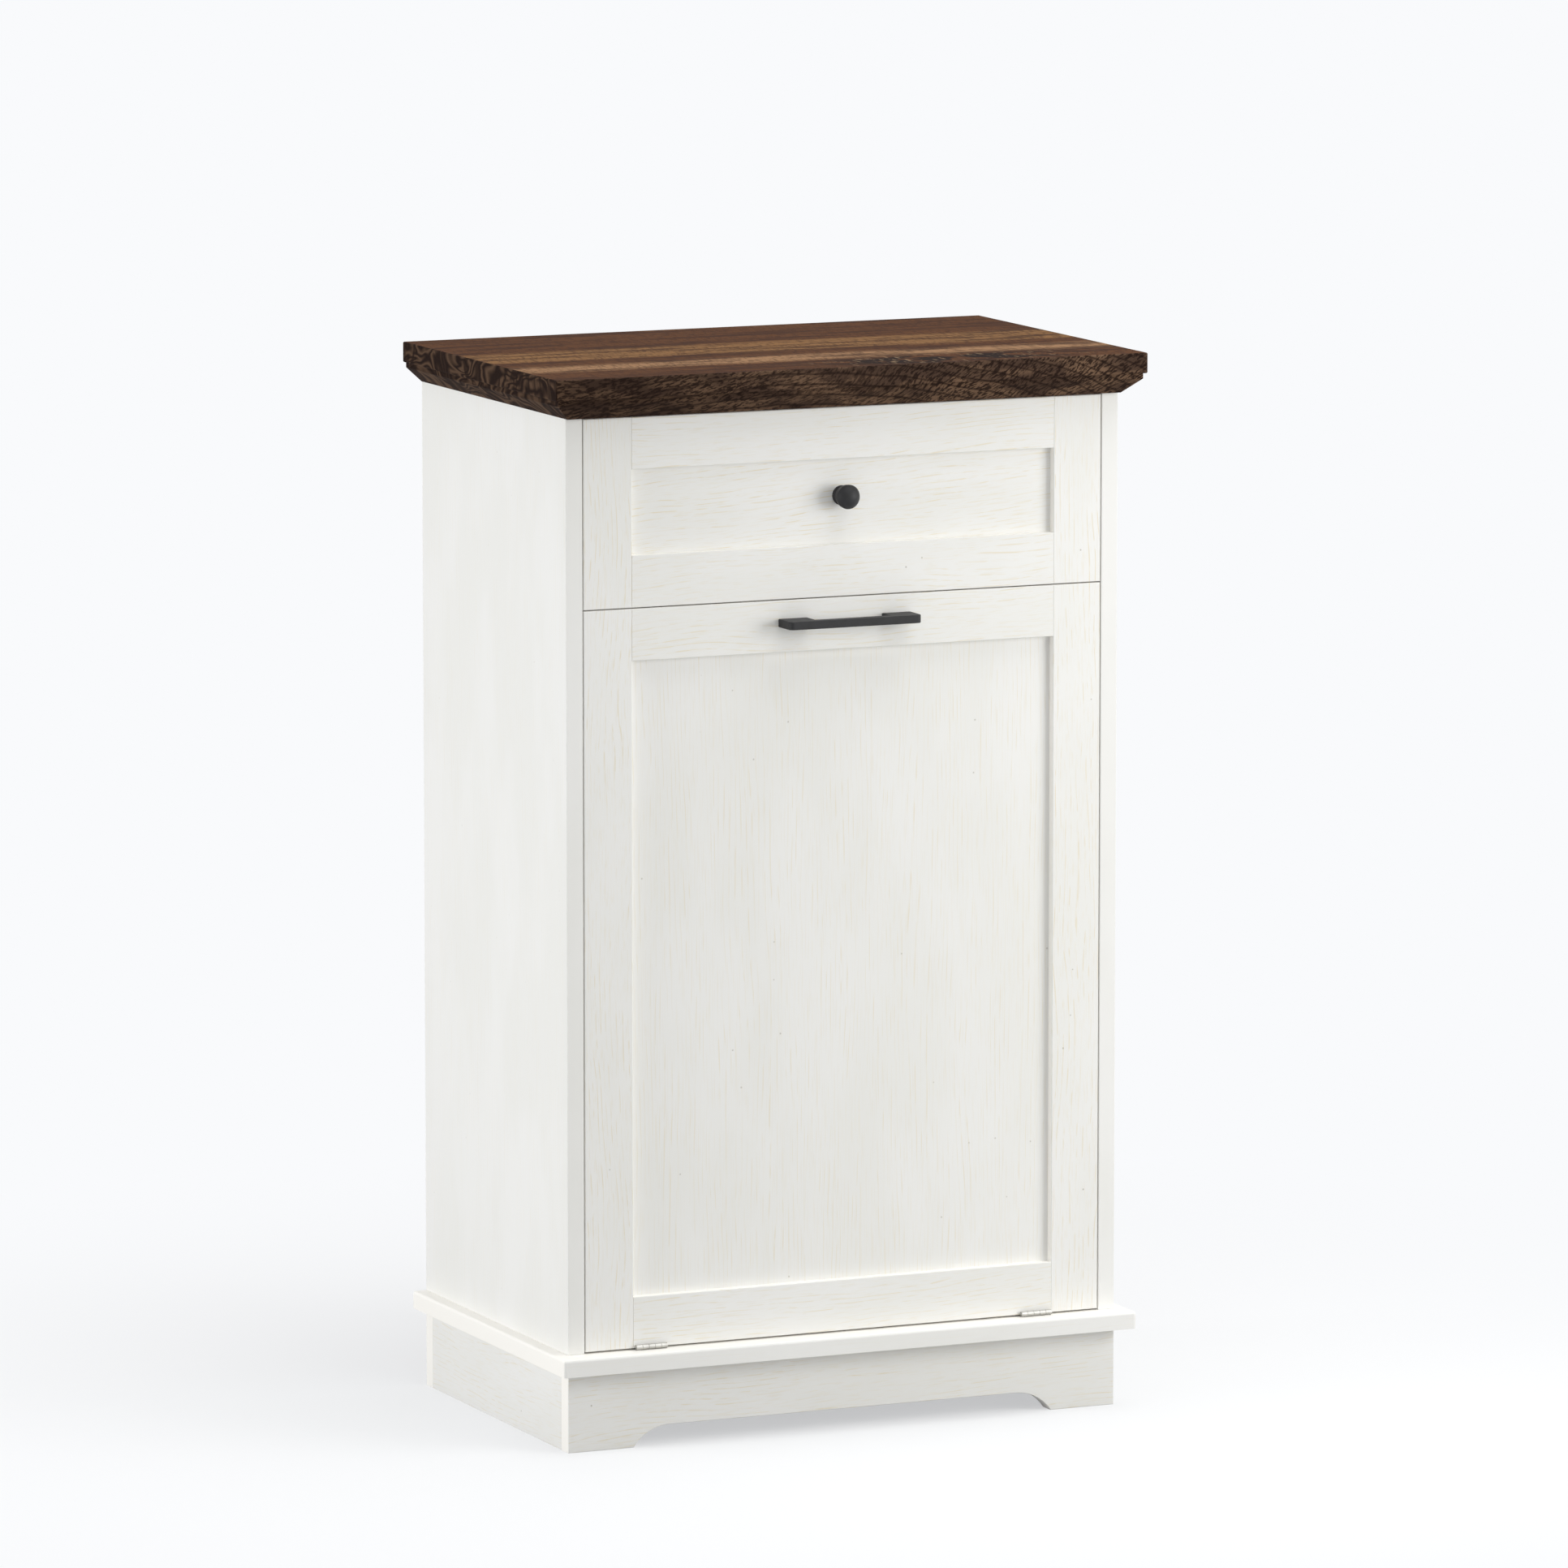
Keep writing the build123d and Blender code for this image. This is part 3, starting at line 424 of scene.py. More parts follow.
# Year rings that the front edge cuts as arcs: their crown on X in metres, how far they drop
# with the square of the distance from it, their spacing and their width
CROWN_X = -0.06
ARC_DROP = 0.67
ARC_SPACING = 9 * MM
ARC_WIDTH = 1.6 * MM

# Slant of the dashes on the front edge: nearly level at the left and steep at the right
LEVEL_SLANT = radians(14)
STEEP_SLANT = radians(42)

# Where on X, in metres, the slant begins and ends to turn, and where the painted shade begins and
# ends to darken the edge leftwards, away from the light at the right
TURN_START, TURN_END = -0.12, 0.08
PAINTED_SHADE_START, PAINTED_SHADE_END = 0.02, -0.24


def walnut_fascia(tree, place, walnut):
    """The front edge and moulding: dark clouds and arcs under short dashes, with painted shade
    that darkens them leftwards.

    The dashes are drawn 1.5 mm wide, about four times the real pores, so that they show.
    """
    bent = warped(tree, place, [90 * MM, 90 * MM, 60 * MM], 14 * MM)
    figure = marks(tree, bent, [60 * MM, 60 * MM, 16 * MM], 0.42, 0.62, 1.0, roughness=0.65)
    clouded = mix(tree, figure, walnut.edge, walnut.fleck)

    wavy = warped(tree, place, [50 * MM] * 3, 3 * MM)
    sideways = add_node(tree, "SeparateXYZ", {"Vector": wavy}, "X")
    upward = add_node(tree, "SeparateXYZ", {"Vector": wavy}, "Z")
    from_crown = add_node(tree, "Math", {0: sideways, 1: -CROWN_X})
    bowed = {0: multiply(tree, from_crown, from_crown), 1: ARC_DROP, 2: upward}
    height = add_node(tree, "Math", bowed, operation="MULTIPLY_ADD")
    arcs = year_lines(tree, height, ARC_SPACING, ARC_WIDTH, 0.7)
    ground = mix(tree, arcs, clouded, walnut.pore)

    level = marks(
        tree, bent, [6 * MM, 6 * MM, 1.5 * MM], 0.46, 0.58, 0.9, roughness=0.6, slant=LEVEL_SLANT,
    )
    steep = marks(
        tree, bent, [6 * MM, 6 * MM, 1.6 * MM], 0.46, 0.58, 0.9, roughness=0.6, slant=STEEP_SLANT,
    )
    across = add_node(tree, "SeparateXYZ", {"Vector": bent}, "X")
    rightness = smooth_step(tree, across, TURN_START, TURN_END)
    turning = {"Factor": rightness, FIRST_NUMBER: level, SECOND_NUMBER: steep}
    dashes = add_node(tree, "Mix", turning)
    front = mix(tree, dashes, ground, walnut.pore)
    # Painted shade: the front edge is darkened leftwards towards the pore brown, by up to half,
    # where less light reaches it from the right
    painted_shade_leftwards = smooth_step(tree, across, PAINTED_SHADE_START, PAINTED_SHADE_END, 0.5)
    return mix(tree, painted_shade_leftwards, front, walnut.pore), dashes


# The ends' year rings, in the units of the noise that they follow: spacing and width
CURL_SPACING, CURL_WIDTH = 0.07, 0.032


def walnut_ends(tree, place, walnut):
    """The two ends: bundles of curled year rings a few millimetres apart, with dark breaks."""
    curled = warped(tree, place, [60 * MM, 75 * MM, 40 * MM], 30 * MM)
    heights = speckle(tree, curled, [70 * MM, 90 * MM, 36 * MM], 2.5, 0.5)
    rings = year_lines(tree, heights, CURL_SPACING, CURL_WIDTH, 0.5)
    curls = mix(tree, rings, walnut.pore, walnut.fleck)
    breaks = marks(tree, curled, [80 * MM, 16 * MM, 60 * MM], 0.5, 0.6, 0.85, detail=3.0)
    return mix(tree, breaks, curls, walnut.pore)


def walnut_foil(name):
    """Brushed walnut foil, printed with planks along the top and wrapped over the edges.

    It gives the eye brown planks of several tones with fine dark pores, darker cross-grained
    edges, and curled end grain at both ends.
    """
    walnut = bpy.context.scene.cabinet_walnut
    tree, place = start_material(name)
    top, pores = walnut_planks(tree, place, walnut)
    front, dashes = walnut_fascia(tree, place, walnut)
    edges = mix(tree, facing(tree, "X", 0.55, 0.65), front, walnut_ends(tree, place, walnut))
    base = mix(tree, facing(tree, "Z", 0.8, 0.9), edges, top)
    relief = add_node(tree, "Math", {0: pores, 1: dashes}, operation="ADD")
    normal = add_node(tree, "Bump", {"Height": relief, "Distance": -0.1 * MM, "Strength": 0.5})
    return finish_material(name, tree, base, normal, 0.7, Specular_IOR_Level=0.02)


def powder_coat(name):
    """Matt black powder coat on zinc casting.

    It gives the eye a soft dark sheen over a very fine pebbled skin.
    """
    metal = bpy.context.scene.cabinet_metal
    tree, place = start_material(name)
    cloud = marks(tree, place, [6 * MM] * 3, 0.3, 0.7)
    base = mix(tree, cloud, metal.black, metal.black_sheen)
    grit = speckle(tree, place, [0.35 * MM] * 3)
    normal = add_node(tree, "Bump", {"Height": grit, "Distance": 0.02 * MM, "Strength": 0.5})
    return finish_material(name, tree, base, normal, 0.55, Specular_IOR_Level=0.3)


def plated_steel(name, tone, roughness, grain):
    """Rolled steel strip, plated with nickel or zinc after pressing.

    It gives the eye a cool silver with faint rolling lines along its length.
    """
    tree, place = start_material(name)
    cloud = marks(tree, place, [9 * MM] * 3, 0.3, 0.7)
    duller = [channel * 0.86 for channel in tone[:3]] + [1.0]
    base = mix(tree, cloud, tone, duller)
    rolled = speckle(tree, place, along(grain, 14 * MM, 0.3 * MM))
    normal = add_node(tree, "Bump", {"Height": rolled, "Distance": 0.008 * MM, "Strength": 0.6})
    return finish_material(name, tree, base, normal, roughness, Metallic=1.0)


def screw_zinc():
    """The zinc-plated steel of all screws but the hinges', made when first asked for."""
    made = bpy.data.materials.get("zinc_screws")
    return made or plated_steel("zinc_screws", bpy.context.scene.cabinet_metal.zinc[:], 0.3, "X")


def moulded_plastic(name):
    """White ABS, injection moulded.

    It gives the eye a plain white with a fine spark-eroded grain.
    """
    metal = bpy.context.scene.cabinet_metal
    tree, place = start_material(name)
    cloud = marks(tree, place, [8 * MM] * 3, 0.3, 0.7)
    base = mix(tree, cloud, metal.plastic, metal.plastic_shade)
    grain = speckle(tree, place, [0.25 * MM] * 3, 1.0)
    normal = add_node(tree, "Bump", {"Height": grain, "Distance": 0.015 * MM, "Strength": 0.5})
    return finish_material(name, tree, base, normal, 0.4, IOR=1.53)


def finish_nodes(material, *names):
    """Give CAD nodes a material."""
    for name in names:
        for slot in NODES[name].material_slots:
            slot.material = material


def both_sides(*stems):
    """The node names of pieces that come as a left and a right one."""
    return [f"{stem}_{side}" for stem in stems for side, _ in SIDES]


# New pieces

def make_piece(bm, name, body, material, replaces=None, sharp_angle=35):
    """Turn a bmesh into a piece that rides on a body."""
    bmesh.ops.remove_doubles(bm, verts=bm.verts, dist=0.002 * MM)
    bmesh.ops.recalc_face_normals(bm, faces=bm.faces)
    mesh = bpy.data.meshes.new(name)
    bm.to_mesh(mesh)
    bm.free()
    mesh.shade_smooth()
    mesh.set_sharp_from_angle(angle=radians(sharp_angle))
    mesh.materials.append(material)
    piece = bpy.data.objects.new(name, mesh)
    bpy.context.scene.collection.objects.link(piece)
    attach(piece, body)
    if replaces:
        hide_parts(replaces)
    return piece


def facing_matrix(centre, direction):
    """A placement that turns a shape's own +Z to a direction and moves it to a centre."""
    return Matrix.Translation(centre) @ direction.to_track_quat("Z", "Y").to_matrix().to_4x4()


# How far each kind of screw head stands proud of what it holds, and how deep it sits in it
GRIP_RISE, STAY_RISE, CATCH_RISE = 2.4 * MM, 2.0 * MM, 1.0 * MM
STRIKE_RISE, SLIDE_RISE, HINGE_RISE = 0.2 * MM, 0.18 * MM, 0.06 * MM
SHALLOW_SINK, HINGE_SINK, SLIDE_SINK = 0.1 * MM, 0.3 * MM, 0.4 * MM

# A screw head's rounded edge, as shares of its height and of its radius, whichever is less
ROUNDED_HEIGHT, ROUNDED_RADIUS = 0.6, 0.4

# The flat rim round its cross recess and the recess's waist, as shares of the radius, and
# the recess's depth as a share of the height
FLAT_RIM, CROSS_WAIST, RECESS_DEPTH = 0.1, 0.36, 0.55

# Its corners, of which each quarter turn has six: three on an arm's end, three on the waist
HEAD_CORNERS = 24
WAIST_CORNERS = (2, 3, 4)


def screw_head(bm, centre, direction, diameter, height, sink=0.0):
    """A pan head with a cross recess, its flat underside sunk a little below the centre."""
    radius = diameter / 2
    matrix = facing_matrix(centre, direction)
    inverse = matrix.inverted()

    def top_face():
        return max(bm.faces, key=lambda face: (inverse @ face.calc_center_median()).z)

    bmesh.ops.create_cone(
        bm, cap_ends=True, segments=HEAD_CORNERS, radius1=radius, radius2=radius,
        depth=height + sink, matrix=matrix @ Matrix.Translation((0, 0, (height - sink) / 2)),
    )
    rounding = min(height * ROUNDED_HEIGHT, radius * ROUNDED_RADIUS)
    bmesh.ops.bevel(
        bm, geom=list(top_face().edges), offset=rounding, segments=3, profile=0.5,
        affect="EDGES", material=-1, clamp_overlap=True,
    )
    top = top_face()
    bmesh.ops.inset_individual(bm, faces=[top], thickness=radius * FLAT_RIM, depth=0)
    for place, vert in enumerate(top.verts):
        if place % (HEAD_CORNERS // 4) in WAIST_CORNERS:
            own = inverse @ vert.co
            own.x *= CROSS_WAIST
            own.y *= CROSS_WAIST
            vert.co = matrix @ own
    recess = bmesh.ops.extrude_discrete_faces(bm, faces=[top])["faces"]
    bmesh.ops.translate(bm, verts=recess[0].verts, vec=-direction * height * RECESS_DEPTH)


def screws(name, body, material, heads, diameter, height, sink=SHALLOW_SINK):
    """One piece for a group of like screws: heads lists the centres and their directions.

    Each head has a bmesh of its own, so that its top face is found among its own faces alone.
    """
    bm = bmesh.new()
    for centre, direction in heads:
        single = bmesh.new()
        screw_head(single, Vector(centre), Vector(direction), diameter, height, sink)
        loose = bpy.data.meshes.new("loose_screw")
        single.to_mesh(loose)
        single.free()
        bm.from_mesh(loose)
        bpy.data.meshes.remove(loose)
    return make_piece(bm, name, body, material)


def arc_run(bm, vert, centre, angle, steps):
    """Carry a profile on from a vertex along an arc in the YZ plane, and give its last vertex."""
    made = bmesh.ops.spin(
        bm, geom=[vert], cent=centre, axis=(1, 0, 0), angle=angle, steps=steps,
        use_duplicate=False,
    )
    return [item for item in made["geom_last"] if isinstance(item, bmesh.types.BMVert)][0]


def straight_run(bm, vert, end):
    """Carry a profile on from a vertex to a point, and give its last vertex."""
    made = bmesh.ops.extrude_vert_indiv(bm, verts=[vert])
    made["verts"][0].co = end
    return made["verts"][0]


# The white boards' foils: name, grain, the axis that the broad faces look along, settings and
# nodes
FOILS = (
    (
        "level", "X", "Y", {"amount": 0.75, "slant": radians(2), "warm_edges": True},
        ("door_rail_top", "door_rail_bottom", "drawer_rail_top", "drawer_rail_bottom",
         "plinth_front"),
    ),
    ("rising", "X", "Y", {"amount": 0.9, "slant": radians(4)}, ("drawer_panel",)),
    (
        "upright", "Z", "Y", {"amount": 0.75, "warm_edges": True},
        both_sides("door_stile", "drawer_stile"),
    ),
    ("panel", "Z", "Y", {"amount": 0.55, "run_scale": 1.8}, ("door_panel",)),
    ("side", "Z", "X", {"amount": 0.2, "run_scale": 1.8}, both_sides("side_panel")),
    (
        "plain", "X", "Y", {"amount": 0.12, "run_scale": 2.0, "warm_edges": True},
        ("base_board", "plinth_back", "divider_shelf", "top_rail_front", "top_rail_back"),
    ),
    ("depthwise", "Y", "X", {"amount": 0.6}, both_sides("plinth")),
)


class CABINET_OT_white_boards(bpy.types.Operator):
    """Wrap the fronts, the side panels, the base board and the plinth in white ash foil"""
    bl_idname = "cabinet.white_boards"
    bl_label = "White Boards"

    def execute(self, context):
        for name, grain, broad, settings, nodes in FOILS:
            foil = ash_foil(f"white_ash_foil_{name}", grain, broad, **settings)
            finish_nodes(foil, *nodes)
        return {"FINISHED"}


class CABINET_OT_inner_boards(bpy.types.Operator):
    """Finish the crate, the drawer box and the hardboard in white melamine and fibre board"""
    bl_idname = "cabinet.inner_boards"
    bl_label = "Inner Boards"

    def execute(self, context):
        white = melamine("white_melamine")
        finish_nodes(white, *both_sides("bin_side", "drawer_side"))
        finish_nodes(white, "bin_floor", "bin_back_board", "bin_back_rail")
        finish_nodes(white, "drawer_box_front", "drawer_back")
        finish_nodes(hardboard("lacquered_hardboard"), "back_panel", "drawer_bottom")
        return {"FINISHED"}


class CABINET_OT_walnut_top(bpy.types.Operator):
    """Wrap the top board and its moulding in brushed walnut foil"""
    bl_idname = "cabinet.walnut_top"
    bl_label = "Walnut Top"

    def execute(self, context):
        material = walnut_foil("brushed_walnut_foil")
        finish_nodes(material, "top_board", "top_moulding_front", *both_sides("top_moulding"))
        return {"FINISHED"}


class CABINET_OT_metalwork(bpy.types.Operator):
    """Finish the handle, the hinges, the stays, the slides and the catch"""
    bl_idname = "cabinet.metalwork"
    bl_label = "Metalwork"

    def execute(self, context):
        metal = context.scene.cabinet_metal
        finish_nodes(powder_coat("black_powder_coat"), "door_handle")
        nickel = plated_steel("satin_nickel_plate", metal.nickel[:], 0.5, "X")
        finish_nodes(nickel, *both_sides("hinge_leaf_base", "hinge_leaf_door", "hinge_pin"))
        zinc = plated_steel("bright_zinc_plate", metal.zinc[:], 0.48, "Y")
        finish_nodes(zinc, *both_sides("slide_outer", "slide_inner", "slide_cage"))
        finish_nodes(zinc, *both_sides("stay_quadrant", "stay_pin"), "strike_plate")
        finish_nodes(moulded_plastic("white_abs"), "magnetic_catch")
        return {"FINISHED"}


KNOB_SIDES = 64


class CABINET_OT_knob(bpy.types.Operator):
    """Turn the mushroom knob with a rounded foot, a waist and a domed head"""
    bl_idname = "cabinet.knob"
    bl_label = "Knob"

    def execute(self, context):
        sizes = context.scene.cabinet_knob
        low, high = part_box("drawer_knob")
        centre = (low + high) / 2
        head_radius = (high.z - low.z) / 2
        reach = high.y - low.y
        dome_height = reach - sizes.rim_end
        dome_radius = (head_radius ** 2 + dome_height ** 2) / (2 * dome_height)
        inner_radius = dome_radius - sizes.rim_radius
        rim_place = head_radius - sizes.rim_radius
        dome_angle = asin(rim_place / inner_radius)
        rim_level = reach - dome_radius + inner_radius * cos(dome_angle)
        flare = rim_place - sizes.neck_radius
        flare_level = rim_level - sizes.rim_radius - flare

        def at(radius, distance):
            return Vector((0, high.y - distance, centre.z + radius))

        bm = bmesh.new()
        vert = bm.verts.new(at(0, reach))
        vert = arc_run(bm, vert, at(0, reach - dome_radius), dome_angle, 14)
        vert = arc_run(bm, vert, at(rim_place, rim_level), pi - dome_angle, 8)
        vert = arc_run(bm, vert, at(rim_place, flare_level), -pi / 2, 8)
        fillet = sizes.neck_fillet
        fillet_level = sizes.foot_height + fillet
        vert = straight_run(bm, vert, at(sizes.neck_radius, fillet_level))
        vert = arc_run(bm, vert, at(sizes.neck_radius + fillet, fillet_level), -pi / 2, 4)
        softening = sizes.foot_softening
        flat_radius = sizes.foot_radius - softening
        vert = straight_run(bm, vert, at(flat_radius, sizes.foot_height))
        vert = arc_run(bm, vert, at(flat_radius, sizes.foot_height - softening), pi / 2, 4)
        vert = straight_run(bm, vert, at(sizes.foot_radius, 0))
        straight_run(bm, vert, at(0, 0))
        bmesh.ops.spin(
            bm, geom=bm.verts[:] + bm.edges[:], cent=(0, 0, centre.z), axis=(0, 1, 0),
            angle=2 * pi, steps=KNOB_SIDES, use_merge=True,
        )
        material = powder_coat("black_powder_coat_knob")
        make_piece(bm, "knob_turned", "drawer", material, "drawer_knob")
        return {"FINISHED"}


# The balls' centres lie half a solid ball's size inside the solids' box. The drawn balls are
# a little larger: they reach 0.1 mm into the rims of the cages' pockets, and stay 0.1 mm off
# the races.
BALL_SEAT = 1.9 * MM
BALL_RADIUS = 2.15 * MM
BALLS_PER_ROW = 4


class CABINET_OT_bearing_balls(bpy.types.Operator):
    """Put polished steel balls in the pockets of the slides' cages"""
    bl_idname = "cabinet.bearing_balls"
    bl_label = "Bearing Balls"

    def execute(self, context):
        low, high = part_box("slide_balls")
        bm = bmesh.new()
        pitch = (high.y - low.y - 2 * BALL_SEAT) / (BALLS_PER_ROW - 1)
        across = (low.x + BALL_SEAT, high.x - BALL_SEAT)
        upward = (low.z + BALL_SEAT, high.z - BALL_SEAT)
        for x, z in product(across, upward):
            for place in range(BALLS_PER_ROW):
                seat = Matrix.Translation((x, low.y + BALL_SEAT + place * pitch, z))
                bmesh.ops.create_icosphere(bm, subdivisions=3, radius=BALL_RADIUS, matrix=seat)
        tone = context.scene.cabinet_metal.ball[:]
        steel = plated_steel("polished_ball_steel", tone, 0.12, "X")
        make_piece(bm, "bearing_balls", "ball_cages", steel, "slide_balls")
        return {"FINISHED"}


class CABINET_OT_grip_screws(bpy.types.Operator):
    """Fit the pan-head screws that hold the handle and the knob from inside"""
    bl_idname = "cabinet.grip_screws"
    bl_label = "Grip Screws"

    def execute(self, context):
        sizes = context.scene.cabinet_screws
        zinc = screw_zinc()
        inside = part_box("door_rail_top")[1].y
        low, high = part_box("door_handle")
        level = (low.z + high.z) / 2
        heads = [((sign * sizes.grip_spacing / 2, inside, level), (0, 1, 0)) for _, sign in SIDES]
        screws("handle_screws", "door", zinc, heads, sizes.grip_head, GRIP_RISE)
        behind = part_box("drawer_box_front")[1].y
        low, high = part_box("drawer_knob")
        heads = [((0, behind, (low.z + high.z) / 2), (0, 1, 0))]
        screws("knob_screw", "drawer", zinc, heads, sizes.grip_head, GRIP_RISE)
        return {"FINISHED"}


# Thickness of the hinge leaves' metal
LEAF_METAL = 0.65 * MM


class CABINET_OT_hinge_screws(bpy.types.Operator):
    """Fit the countersunk screws of the hinge leaves"""
    bl_idname = "cabinet.hinge_screws"
    bl_label = "Hinge Screws"

    def execute(self, context):
        sizes = context.scene.cabinet_screws
        tone = context.scene.cabinet_metal.nickel[:]
        nickel = plated_steel("nickel_screws", tone, 0.38, "X")
        rail_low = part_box("door_rail_bottom")[0]
        y = rail_low.y + sizes.hinge_setback
        base_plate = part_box("base_board")[1].z + LEAF_METAL
        door_plate = rail_low.z - LEAF_METAL
        base_heads = []
        door_heads = []
        for side, _ in SIDES:
            low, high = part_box(f"hinge_leaf_base_{side}")
            for offset in (-0.5, 0.5):
                x = (low.x + high.x) / 2 + offset * sizes.hinge_spacing
                base_heads.append(((x, y, base_plate), (0, 0, 1)))
                door_heads.append(((x, y, door_plate), (0, 0, -1)))
        for name, body, heads in (
            ("hinge_screws_base", "cabinet", base_heads),
            ("hinge_screws_door", "door", door_heads),
        ):
            screws(
                name, body, nickel, heads,
                sizes.hinge_head, HINGE_RISE, HINGE_SINK,
            )
        return {"FINISHED"}


class CABINET_OT_stay_screws(bpy.types.Operator):
    """Fit the pan-head screws at both ends of each stay"""
    bl_idname = "cabinet.stay_screws"
    bl_label = "Stay Screws"

    stay_radius: length("Stay radius", "Distance of the stays' middle line from the axis", 360)
    first_angle: bpy.props.FloatProperty(
        name="First angle", description="Angle of the lower screw back from upright",
        subtype="ANGLE", default=radians(5),
    )
    last_angle: bpy.props.FloatProperty(
        name="Last angle", description="Angle of the rear screw back from upright",
        subtype="ANGLE", default=radians(48),
    )

    def execute(self, context):
        sizes = context.scene.cabinet_screws
        heads = []
        for side, sign in SIDES:
            low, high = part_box(f"stay_quadrant_{side}")
            outer_x = low.x if sign < 0 else high.x
            for angle in (self.first_angle, self.last_angle):
                y = TILT_AXIS.y + self.stay_radius * sin(angle)
                z = TILT_AXIS.z + self.stay_radius * cos(angle)
                heads.append(((outer_x, y, z), (sign, 0, 0)))
        zinc = screw_zinc()
        screws("stay_screws", "door", zinc, heads, sizes.stay_head, STAY_RISE)
        return {"FINISHED"}


# The catch's two pole edges: their size along X, Y and Z, how far they stand from the middle,
# how far they cover the solid's own edges, and how far they are rounded. Then comes the
# distance of the catch's screws from its middle on X.
POLE_SIZE = (34 * MM, 1.2 * MM, 1.5 * MM)
POLE_OFFSET = 3 * MM
POLE_COVER = 0.04 * MM
POLE_ROUNDING = 0.15 * MM
CATCH_SCREW_X = 19 * MM


class CABINET_OT_catch_screws(bpy.types.Operator):
    """Fit the magnetic catch's steel poles, its screws and the strike plate's screw"""
    bl_idname = "cabinet.catch_screws"
    bl_label = "Catch Fittings"

    def execute(self, context):
        sizes = context.scene.cabinet_screws
        zinc = screw_zinc()
        low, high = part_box("magnetic_catch")
        level = (low.z + high.z) / 2
        width, reach, thickness = POLE_SIZE
        size = (width + 2 * POLE_COVER, reach + POLE_COVER, thickness + 2 * POLE_COVER)
        bm = bmesh.new()
        for side in (-1, 1):
            made = bmesh.ops.create_cube(bm, size=1)
            bmesh.ops.scale(bm, vec=size, verts=made["verts"])
            place = (0, low.y + (reach - POLE_COVER) / 2, level + side * POLE_OFFSET)
            bmesh.ops.translate(bm, vec=place, verts=made["verts"])
        bmesh.ops.bevel(
            bm, geom=bm.edges[:], offset=POLE_ROUNDING, segments=2, profile=0.5,
            affect="EDGES", material=-1,
        )
        make_piece(bm, "catch_poles", "cabinet", zinc)
        y = (low.y + high.y) / 2
        heads = [((sign * CATCH_SCREW_X, y, low.z), (0, 0, -1)) for _, sign in SIDES]
        screws("catch_screws", "cabinet", zinc, heads, sizes.catch_head, CATCH_RISE)
        heads = [((0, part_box("strike_plate")[1].y, level), (0, 1, 0))]
        screws("strike_screw", "door", zinc, heads, sizes.catch_head, STRIKE_RISE)
        return {"FINISHED"}


# The slides' metal, and how far their screws lie from the outer channel's ends: its own two
# from its rear end, and the inner channel's two from its front and from its rear end
SLIDE_METAL = 1.2 * MM
OUTER_SCREWS = (72 * MM, 24 * MM)
INNER_FRONT_SCREW = 14 * MM
INNER_REAR_SCREW = 20 * MM


class CABINET_OT_slide_screws(bpy.types.Operator):
    """Fit the flat-head screws that hold the slides to the side panels and to the drawer"""
    bl_idname = "cabinet.slide_screws"
    bl_label = "Slide Screws"

    def execute(self, context):
        zinc = screw_zinc()
        head = context.scene.cabinet_screws.slide_head
        cabinet_heads = []
        drawer_heads = []
        for side, sign in SIDES:
            low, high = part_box(f"slide_outer_{side}")
            level = (low.z + high.z) / 2
            wall_x = low.x if sign < 0 else high.x
            drawer_low, drawer_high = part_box(f"slide_inner_{side}")
            inner_x = drawer_high.x if sign < 0 else drawer_low.x
            for distance in OUTER_SCREWS:
                place = (wall_x - sign * SLIDE_METAL, high.y - distance, level)
                cabinet_heads.append((place, (-sign, 0, 0)))
            for y in (low.y + INNER_FRONT_SCREW, high.y - INNER_REAR_SCREW):
                drawer_heads.append(((inner_x + sign * SLIDE_METAL, y, level), (sign, 0, 0)))
        for name, body, heads in (
            ("slide_screws_cabinet", "cabinet", cabinet_heads),
            ("slide_screws_drawer", "drawer", drawer_heads),
        ):
            screws(name, body, zinc, heads, head, SLIDE_RISE, SLIDE_SINK)
        return {"FINISHED"}


# Soft lights: name, place, target, width and height in metres, power in watts and tint
LAMPS = (
    ("near_right", (1.4, -1.45, 0.9), (0, -0.15, 0.45), 1.2, 1.1, 22.5, "FFFEFB"),
    ("low_left", (-2.6, 0.05, 0.75), (0, 0, 0.45), 1.6, 1.4, 33, "FFFFFF"),
    ("sky_above", (0.45, -0.4, 3.1), (0.05, 0, 0.9), 2.1, 2.1, 41, "FFFFFF"),
)
# Strength of the soft light from all round
AMBIENT = 0.52

# The floor turns to the plain backdrop with the distance from its middle, in metres. The
# camera sees this share of backdrop in it at the middle, and its own colour in the rest.
NEAR_SHARE = 0.55
FADE_START, FADE_END = 0.3, 1.2
FLOOR_HALF_WIDTH = 40

# The camera as fitted to the photograph's edges: place in metres, turn in degrees, lens and
# sensor in millimetres. It is pitched, not shifted, so that the other views are centred too.
CAMERA_PLACE = (-3.7619, -8.4865, 1.8958)
CAMERA_TURN = (81.668, 0, -23.959)
CAMERA_LENS = 250.92
CAMERA_SENSOR = 36
CAMERA_REACH = 100


def soft_light(name, place, target, width, height, power, tint):
    """A rectangular soft light aimed at a point."""
    lamp = bpy.data.lights.new(name, "AREA")
    lamp.shape = "RECTANGLE"
    lamp.size = width
    lamp.size_y = height
    lamp.energy = power
    lamp.color = linear(tint)[:3]
    light = bpy.data.objects.new(name, lamp)
    light.location = place
    light.rotation_euler = (Vector(target) - Vector(place)).to_track_quat("-Z", "Y").to_euler()
    bpy.context.scene.collection.objects.link(light)


def seen_directly(tree):
    """1 for a ray from the camera, a mirror-like ray or a ray through glass, and 0 for light."""
    paths = add_node(tree, "LightPath").node.outputs
    clear = add_node(
        tree, "Math", {0: paths["Is Camera Ray"], 1: paths["Is Glossy Ray"]}, operation="MAXIMUM",
    )
    through = paths["Is Transmission Ray"]
    return add_node(tree, "Math", {0: clear, 1: through}, operation="MAXIMUM")


